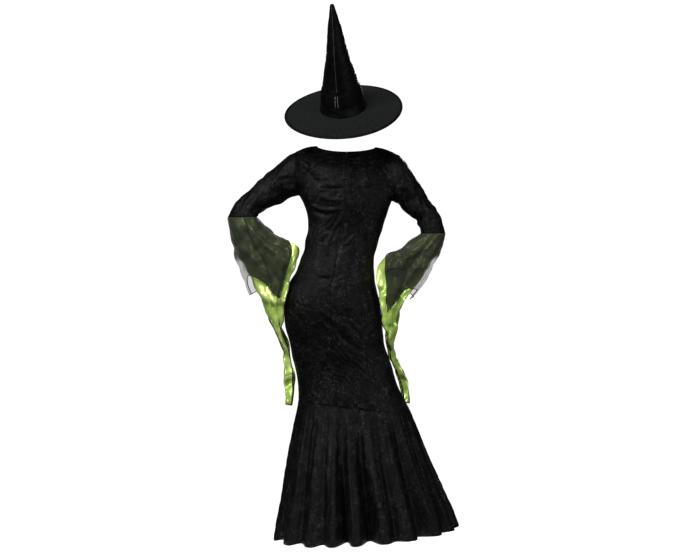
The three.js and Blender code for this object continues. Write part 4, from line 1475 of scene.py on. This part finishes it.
def flounceGrid(foldCount, start):
    perFold = flounceSizes["perFold"]
    steps = np.arange(foldCount * perFold + 1) / perFold + start
    total = len(flounceFolds)
    fold = np.floor(steps).astype(int) % total
    phase = steps - np.floor(steps)
    crests = np.array([row[0] for row in flounceFolds], float)
    depths = np.array([row[1] for row in flounceFolds], float)
    ends = np.append(crests[1:], crests[0] + 360)
    angle = (mix(crests[fold], ends[fold], phase) * degree)[None, :]
    groove = ((0.5 - 0.5 * np.cos(2 * math.pi * phase)) ** grooves["sharpness"])[None, :]
    depth = depths[fold][None, :]
    share = np.linspace(0, 1, flounceSizes["rows"] + 1)[:, None]
    level = mix(levels["knee"] - cloth["kneeGap"], levels["hem"], share)
    angle, level = np.broadcast_arrays(angle, level)
    points = onRing(flounceRings, angle, level, roundness["flounce"])
    row = smoothRows(flounceRings, [ring[0] for ring in flounceRings], level)
    halfWidth = row[..., 2]
    halfDepth = (row[..., 3] - row[..., 4]) / 2
    normalX = np.cos(angle) / halfWidth
    normalY = np.sin(angle) / halfDepth
    size = np.hypot(normalX, normalY)
    inward = groove * depth * mix(grooves["top"], 1, share ** grooves["deepening"])
    points[..., 0] -= normalX / size * inward
    points[..., 1] -= normalY / size * inward
    points[..., 2] -= hemWave["height"] * share * np.sin(angle + hemWave["start"] * degree) * (1 - groove)
    seam = onRing(figureRings, angle[:1], np.full_like(angle[:1], levels["knee"]))
    seam[..., 2] -= cloth["kneeGap"]
    points = mix(seam, points, smoothStep(share * grooves["seamFade"])[..., None])
    return points, angle, share


def buildFlounce():
    total = len(flounceFolds)
    pieces = (("flounce_back", backFolds, -0.5), ("flounce_front", total - backFolds, backFolds - 0.5))
    for name, foldCount, start in pieces:
        points, angle, share = flounceGrid(foldCount, start)
        normals = gridNormals(points, False)
        push = wrinklePush(points, 4.1, fineCreases["wrinkles"]) * smoothStep(share * 8)
        wave = np.sin(angle * fineCreases["count"] + fineCreases["slant"] * share)
        push = push + fineCreases["height"] * wave * smoothStep(share * fineCreases["fade"])
        edge = np.minimum(np.arange(points.shape[1]), np.arange(points.shape[1])[::-1])
        push = push * smoothStep(edge / fineCreases["edgeColumns"])[None, :]
        push = push * smoothStep((1 - share) * 30 + 0.3)
        wander = puckerSizes["wander"] * np.sin(angle * puckerSizes["wanderCount"])
        puckers = puckerSizes["height"] * np.sin(angle * puckerSizes["count"] + wander)
        puckers = puckers * bell(share, puckerSizes["reach"]) * smoothStep(share / puckerSizes["start"])
        push = push + puckers - bell(share, puckerSizes["seam"])
        points = points + normals * push[..., None]
        isUnder = name == "flounce_front"
        lap = flounceSizes["lap"] if isUnder else 0
        depth = cloth["velvet"] + cloth["halfSeam"] if isUnder else 0
        for edge, inner in ((0, 1), (-1, -2)):
            points[:, edge] -= away(points[:, inner], points[:, edge]) * lap + normals[:, edge] * depth
        velvetPiece(name, points)
        sewnRun(name + "_hem_stitches", raised(points)[-flounceSizes["hemRows"]])
    buildKneeAllowance()
    print("flounce made")


# The allowance of the knee seam stands inside it, so that no light shows between the two edges.
def buildKneeAllowance():
    angles = roundAngles(flounceSizes["allowanceColumns"])
    heights = (np.linspace(1, -1, 5) * flounceSizes["allowance"])[:, None]
    angles, heights = np.broadcast_arrays(angles, heights)
    ring = onRing(figureRings, angles, np.full(angles.shape, float(levels["knee"])))
    ring[..., 2] += heights
    ring = ring - gridNormals(ring, True) * flounceSizes["allowanceDepth"]
    thickness = flounceSizes["allowanceThickness"]
    piece = clothWall("flounce_back_knee_seam", ring, thickness, materials["velvet"], True)
    place(piece, None, "velvet")


# Hat

hatSizes = {
    "columns": 128,
    "coneRows": 90,
    "tipSteps": [0.8, 0.6, 0.4, 0.2],
    "brimColumns": 168,
    "brimRows": 24,
    "bandRows": 19,
}


coneDents = {"height": 2.2, "length": 45, "flare": 3, "flareHeight": 12}
coneSeam = {"depth": 1.1, "width": 2.2, "lowRadius": 90, "highRadius": 8}
coneWaves = {"height": 1.6, "count": 5, "lean": 15, "length": 22, "reach": 160, "fadeLow": 14, "fadeHigh": 20}
brimWave = {"height": 3, "start": 0.6, "droopPower": 1.6, "turnUpOver": 40, "ripple": 0.8, "rippleCount": 5}
bandPleats = {"height": 0.7, "count": 46, "lean": 5, "patches": 3, "roll": 1.0}
# The knot's two rises: height, turn from the seam, lean and width, in degrees.
bandKnot = [[2.2, -3, 3, 2.4], [2.0, 4, 0, 2.2]]
bandMiddle = (hat["bandLow"] + hat["bandHigh"]) / 2


def hatMatrix():
    tilt = Matrix.Rotation(-hat["backTilt"] * degree, 4, "X")
    roll = Matrix.Rotation(hat["sideTilt"] * degree, 4, "Y")
    return Matrix.Translation(hat["base"]) @ roll @ tilt


def placed(points, matrix):
    turned = np.array(matrix.to_3x3())
    return points @ turned.T + np.array(matrix.translation)


def conePoint(angle, height):
    share = height / hat["coneHeight"]
    wave = np.sin(2 * angle + height / coneDents["length"])
    dent = coneDents["height"] * wave * np.sin(math.pi * np.clip(share, 0, 1))
    flare = coneDents["flare"] * np.exp(-height / coneDents["flareHeight"])
    x = (mix(hat["halfWidth"], hat["tipRadius"], share) + dent + flare) * np.cos(angle)
    y = (mix(hat["halfDepth"], hat["tipRadius"], share) + dent + flare) * np.sin(angle)
    return stacked(x, y, height)


def coneSurface(matrix):
    angles = roundAngles(hatSizes["columns"])
    heights = np.concatenate([[0.6], np.linspace(5, hat["coneHeight"], hatSizes["coneRows"])])[::-1, None]
    angles, heights = np.broadcast_arrays(angles, heights)
    points = conePoint(angles, heights)
    radial = unit(points * [1, 1, 0])
    apart = turnFrom(angles, hat["seamAngle"])
    radius = mix(coneSeam["lowRadius"], coneSeam["highRadius"], heights / hat["coneHeight"])
    seam = -coneSeam["depth"] * bell(apart * degree * radius, coneSeam["width"])
    push = seam + wrinklePush(points * 1.2, 0.7, 0.8) * smoothStep(heights / 30)
    low = smoothStep(1 - heights / coneWaves["reach"])
    wave = np.sin(angles * coneWaves["count"] + heights / coneWaves["lean"])
    push = push + coneWaves["height"] * low * wave * np.sin(heights / coneWaves["length"])
    fadeHigh = smoothStep((hat["coneHeight"] - heights) / coneWaves["fadeHigh"])
    ends = smoothStep(heights / coneWaves["fadeLow"]) * fadeHigh
    inBand = 1 - np.exp(-(((heights - bandMiddle) / 30) ** 4))
    push = push * ends * (0.2 + 0.8 * inBand)
    points = points + radial * push[..., None]
    return placed(points, matrix)


def roundedTip(matrix):
    angles = roundAngles(hatSizes["columns"])
    turns = (np.array(hatSizes["tipSteps"]) * math.pi / 2)[:, None]
    angles, turns = np.broadcast_arrays(angles, turns)
    points = conePoint(angles, np.full(angles.shape, hat["coneHeight"]))
    points[..., :2] *= np.cos(turns)[..., None]
    points[..., 2] += hat["tipRounding"] * np.sin(turns)
    return placed(points, matrix)


def buildCone(matrix):
    points = np.concatenate([roundedTip(matrix), coneSurface(matrix)])
    top = hat["coneHeight"] + hat["tipRounding"]
    pole = placed(np.array([[0.0, 0.0, top], [0.0, 0.0, top - cloth["felt"]]]), matrix)
    piece = clothWall("hat_cone_velvet", points, cloth["felt"], materials["hatVelvet"], True, pole=pole)
    place(piece, "hat_cone", "velvet")
    bandRows = int(hatSizes["coneRows"] * (hat["bandHigh"] + 6) / hat["coneHeight"]) + 1
    column = round(hatSizes["columns"] * hat["seamAngle"] / 360)
    route = points[len(hatSizes["tipSteps"]):-bandRows, column]
    # A light grey cord along the cone's seam: the seam is real, and its light grey is a painted highlight on
    # the seam's ridge.
    edgeCord("hat_cone_seam", route, 2, 1.6, "seamHighlightPaint", "velvet", False)


def brimGrid(matrix):
    angles = roundAngles(hatSizes["brimColumns"])
    share = np.linspace(0, 1, hatSizes["brimRows"] + 1)[:, None]
    width = mix(hat["halfWidth"] + hat["brimStart"], hat["brimRadius"], share)
    depth = mix(hat["halfDepth"] + hat["brimStart"], hat["brimRadius"], share)
    wave = brimWave["height"] * share * np.sin(2 * angles + brimWave["start"])
    turnUp = hat["brimTurnUp"] * np.exp(-share * brimWave["turnUpOver"])
    drop = -hat["brimDroop"] * share ** brimWave["droopPower"] + wave + turnUp
    ripple = np.sin(angles * brimWave["rippleCount"] + 3 * share) * np.sin(share * math.pi)
    drop = drop + brimWave["ripple"] * ripple
    points = stacked(width * np.cos(angles), depth * np.sin(angles), drop)
    return placed(points, matrix)


def bindingMesh(surface):
    normals = gridNormals(surface, True)
    edge = surface[-1]
    outward = away(edge, surface[-2])
    up = normals[-1]
    gap = hat["bindingClearance"]
    out = gap + hat["bindingThickness"]
    under = -cloth["felt"]
    width = hat["bindingWidth"]
    section = [
        (-width, gap), (gap, gap), (gap, under - gap), (-width, under - gap),
        (-width, under - out), (out * 0.3, under - out), (out * 0.9, under * 0.9), (out, under / 2),
        (out * 0.9, under * 0.1), (out * 0.3, out), (-width, out),
    ]
    points = np.stack([edge + outward * along + up * above for along, above in section], axis=1)
    faces = tubeFaces(len(edge), len(section), True, inward=True)
    inset = 2 - width
    for word, above in (("upper", out + stitch["raise"]), ("lower", under - out - stitch["raise"])):
        sewnRun("brim_binding_" + word + "_stitches", edge + outward * inset + up * above, closed=True)
    return meshObject("brim_binding_velvet", points.reshape(-1, 3), faces, materials["velvet"])


def buildBand(matrix):
    angles = roundAngles(hatSizes["columns"] * 2)
    heights = np.linspace(hat["bandHigh"], hat["bandLow"], hatSizes["bandRows"])[:, None]
    angles, heights = np.broadcast_arrays(angles, heights)
    points = conePoint(angles, heights)
    radial = unit(points * [1, 1, 0])
    lean = (heights - bandMiddle) / bandMiddle
    fold = np.cos(angles * bandPleats["count"] + bandPleats["lean"] * lean * np.sin(angles))
    fullness = 0.5 + 0.5 * np.sin(angles * bandPleats["patches"] + 1)
    pleats = bandPleats["height"] * fold * fullness
    apart = turnFrom(angles, hat["seamAngle"])
    knot = sum(high * bell(apart - turn - slant * lean, width) for high, turn, slant, width in bandKnot)
    upBand = (heights - hat["bandLow"]) / (hat["bandHigh"] - hat["bandLow"])
    roll = bandPleats["roll"] * np.sin(upBand * math.pi)
    out = hat["bandOut"] + bandPleats["height"] + pleats + knot + roll
    points = placed(points + radial * out[..., None], matrix)
    piece = clothWall("hat_band_satin", points, hat["bandThickness"], materials["band"], True)
    place(piece, "hat_band", "band")
    # Two light grey cords on the knot's ridges: painted glints where the band's satin folds catch the light.
    for word, shift in (("left", 4), ("right", -3)):
        column = round(points.shape[1] * (hat["seamAngle"] + shift) / 360)
        name = "hat_band_" + word + "_fold_seam"
        edgeCord(name, points[1:-1, column], 1.5, 1.6, "bandGlintPaint", "band", False)


def buildHat():
    matrix = hatMatrix()
    buildCone(matrix)
    buildBand(matrix)
    surface = brimGrid(matrix)
    brim = clothWall("hat_brim_felt", surface, cloth["felt"], materials["felt"], True)
    place(brim, "hat_brim", "felt")
    place(bindingMesh(surface), "brim_binding", "velvet")
    print("hat made")


def dressNodes():
    nodes = frame["nodes"]
    for name, key in (("zip_tape", "tape"), ("zip_slider", "enamel"), ("zip_pull", "enamel")):
        mesh = nodes[name].data
        mesh.materials.clear()
        mesh.materials.append(materials[key])


# The flat cut of each cloth piece, in metres: its width, length and area, how it is held and what carries it.
sheets = {
    "front_panel_velvet": [0.5, 1.08, 0.42, "hung", ["back_panel_left_velvet", "back_panel_right_velvet"]],
    "back_panel_left_velvet": [0.26, 1.08, 0.215, "hung", ["front_panel_velvet"]],
    "back_panel_right_velvet": [0.26, 1.09, 0.22, "hung", ["front_panel_velvet"]],
    "sleeve_left_velvet": [0.37, 0.39, 0.095, "hung", ["front_panel_velvet", "back_panel_left_velvet"]],
    "sleeve_right_velvet": [0.36, 0.37, 0.086, "hung", ["front_panel_velvet", "back_panel_right_velvet"]],
    "satin_cuff_left_cloth": [0.58, 0.79, 0.175, "hung", ["sleeve_left_velvet"]],
    "satin_cuff_right_cloth": [0.54, 0.77, 0.155, "hung", ["sleeve_right_velvet"]],
    "net_cuff_left_cloth": [0.7, 0.38, 0.118, "hung", ["sleeve_left_velvet"]],
    "net_cuff_right_cloth": [0.65, 0.38, 0.098, "hung", ["sleeve_right_velvet"]],
    "flounce_back_velvet": [
        1.35, 0.54, 0.46, "gathered", ["back_panel_left_velvet", "back_panel_right_velvet"],
    ],
    "flounce_front_velvet": [1.3, 0.53, 0.44, "gathered", ["front_panel_velvet"]],
    "hat_cone_velvet": [0.58, 0.43, 0.127, "stretched", ["hat_brim_felt"]],
    "hat_band_satin": [0.54, 0.046, None, "gathered", ["hat_cone_velvet"]],
    "hat_brim_felt": [0.45, 0.48, 0.129, "stretched", ["hat_cone_velvet"]],
    "brim_binding_velvet": [0.021, 1.45, None, "folded", ["hat_brim_felt"]],
}


trimWords = ("_stitches", "_overlock", "_seam")


def declareSheets():
    pieces = bpy.data.objects
    for name, (width, length, area, held, carriers) in sheets.items():
        stem = name.rsplit("_", 1)[0]
        trim = [obj for obj in pieces if obj.name.startswith(stem) and obj.name.endswith(trimWords)]
        if name == "back_panel_left_velvet":
            trim.append(frame["nodes"]["zip_tape"])


buildPanels()
buildSleeves()
buildCuffs()
buildFlounce()
buildHat()
dressNodes()
declareSheets()
print("pieces made")
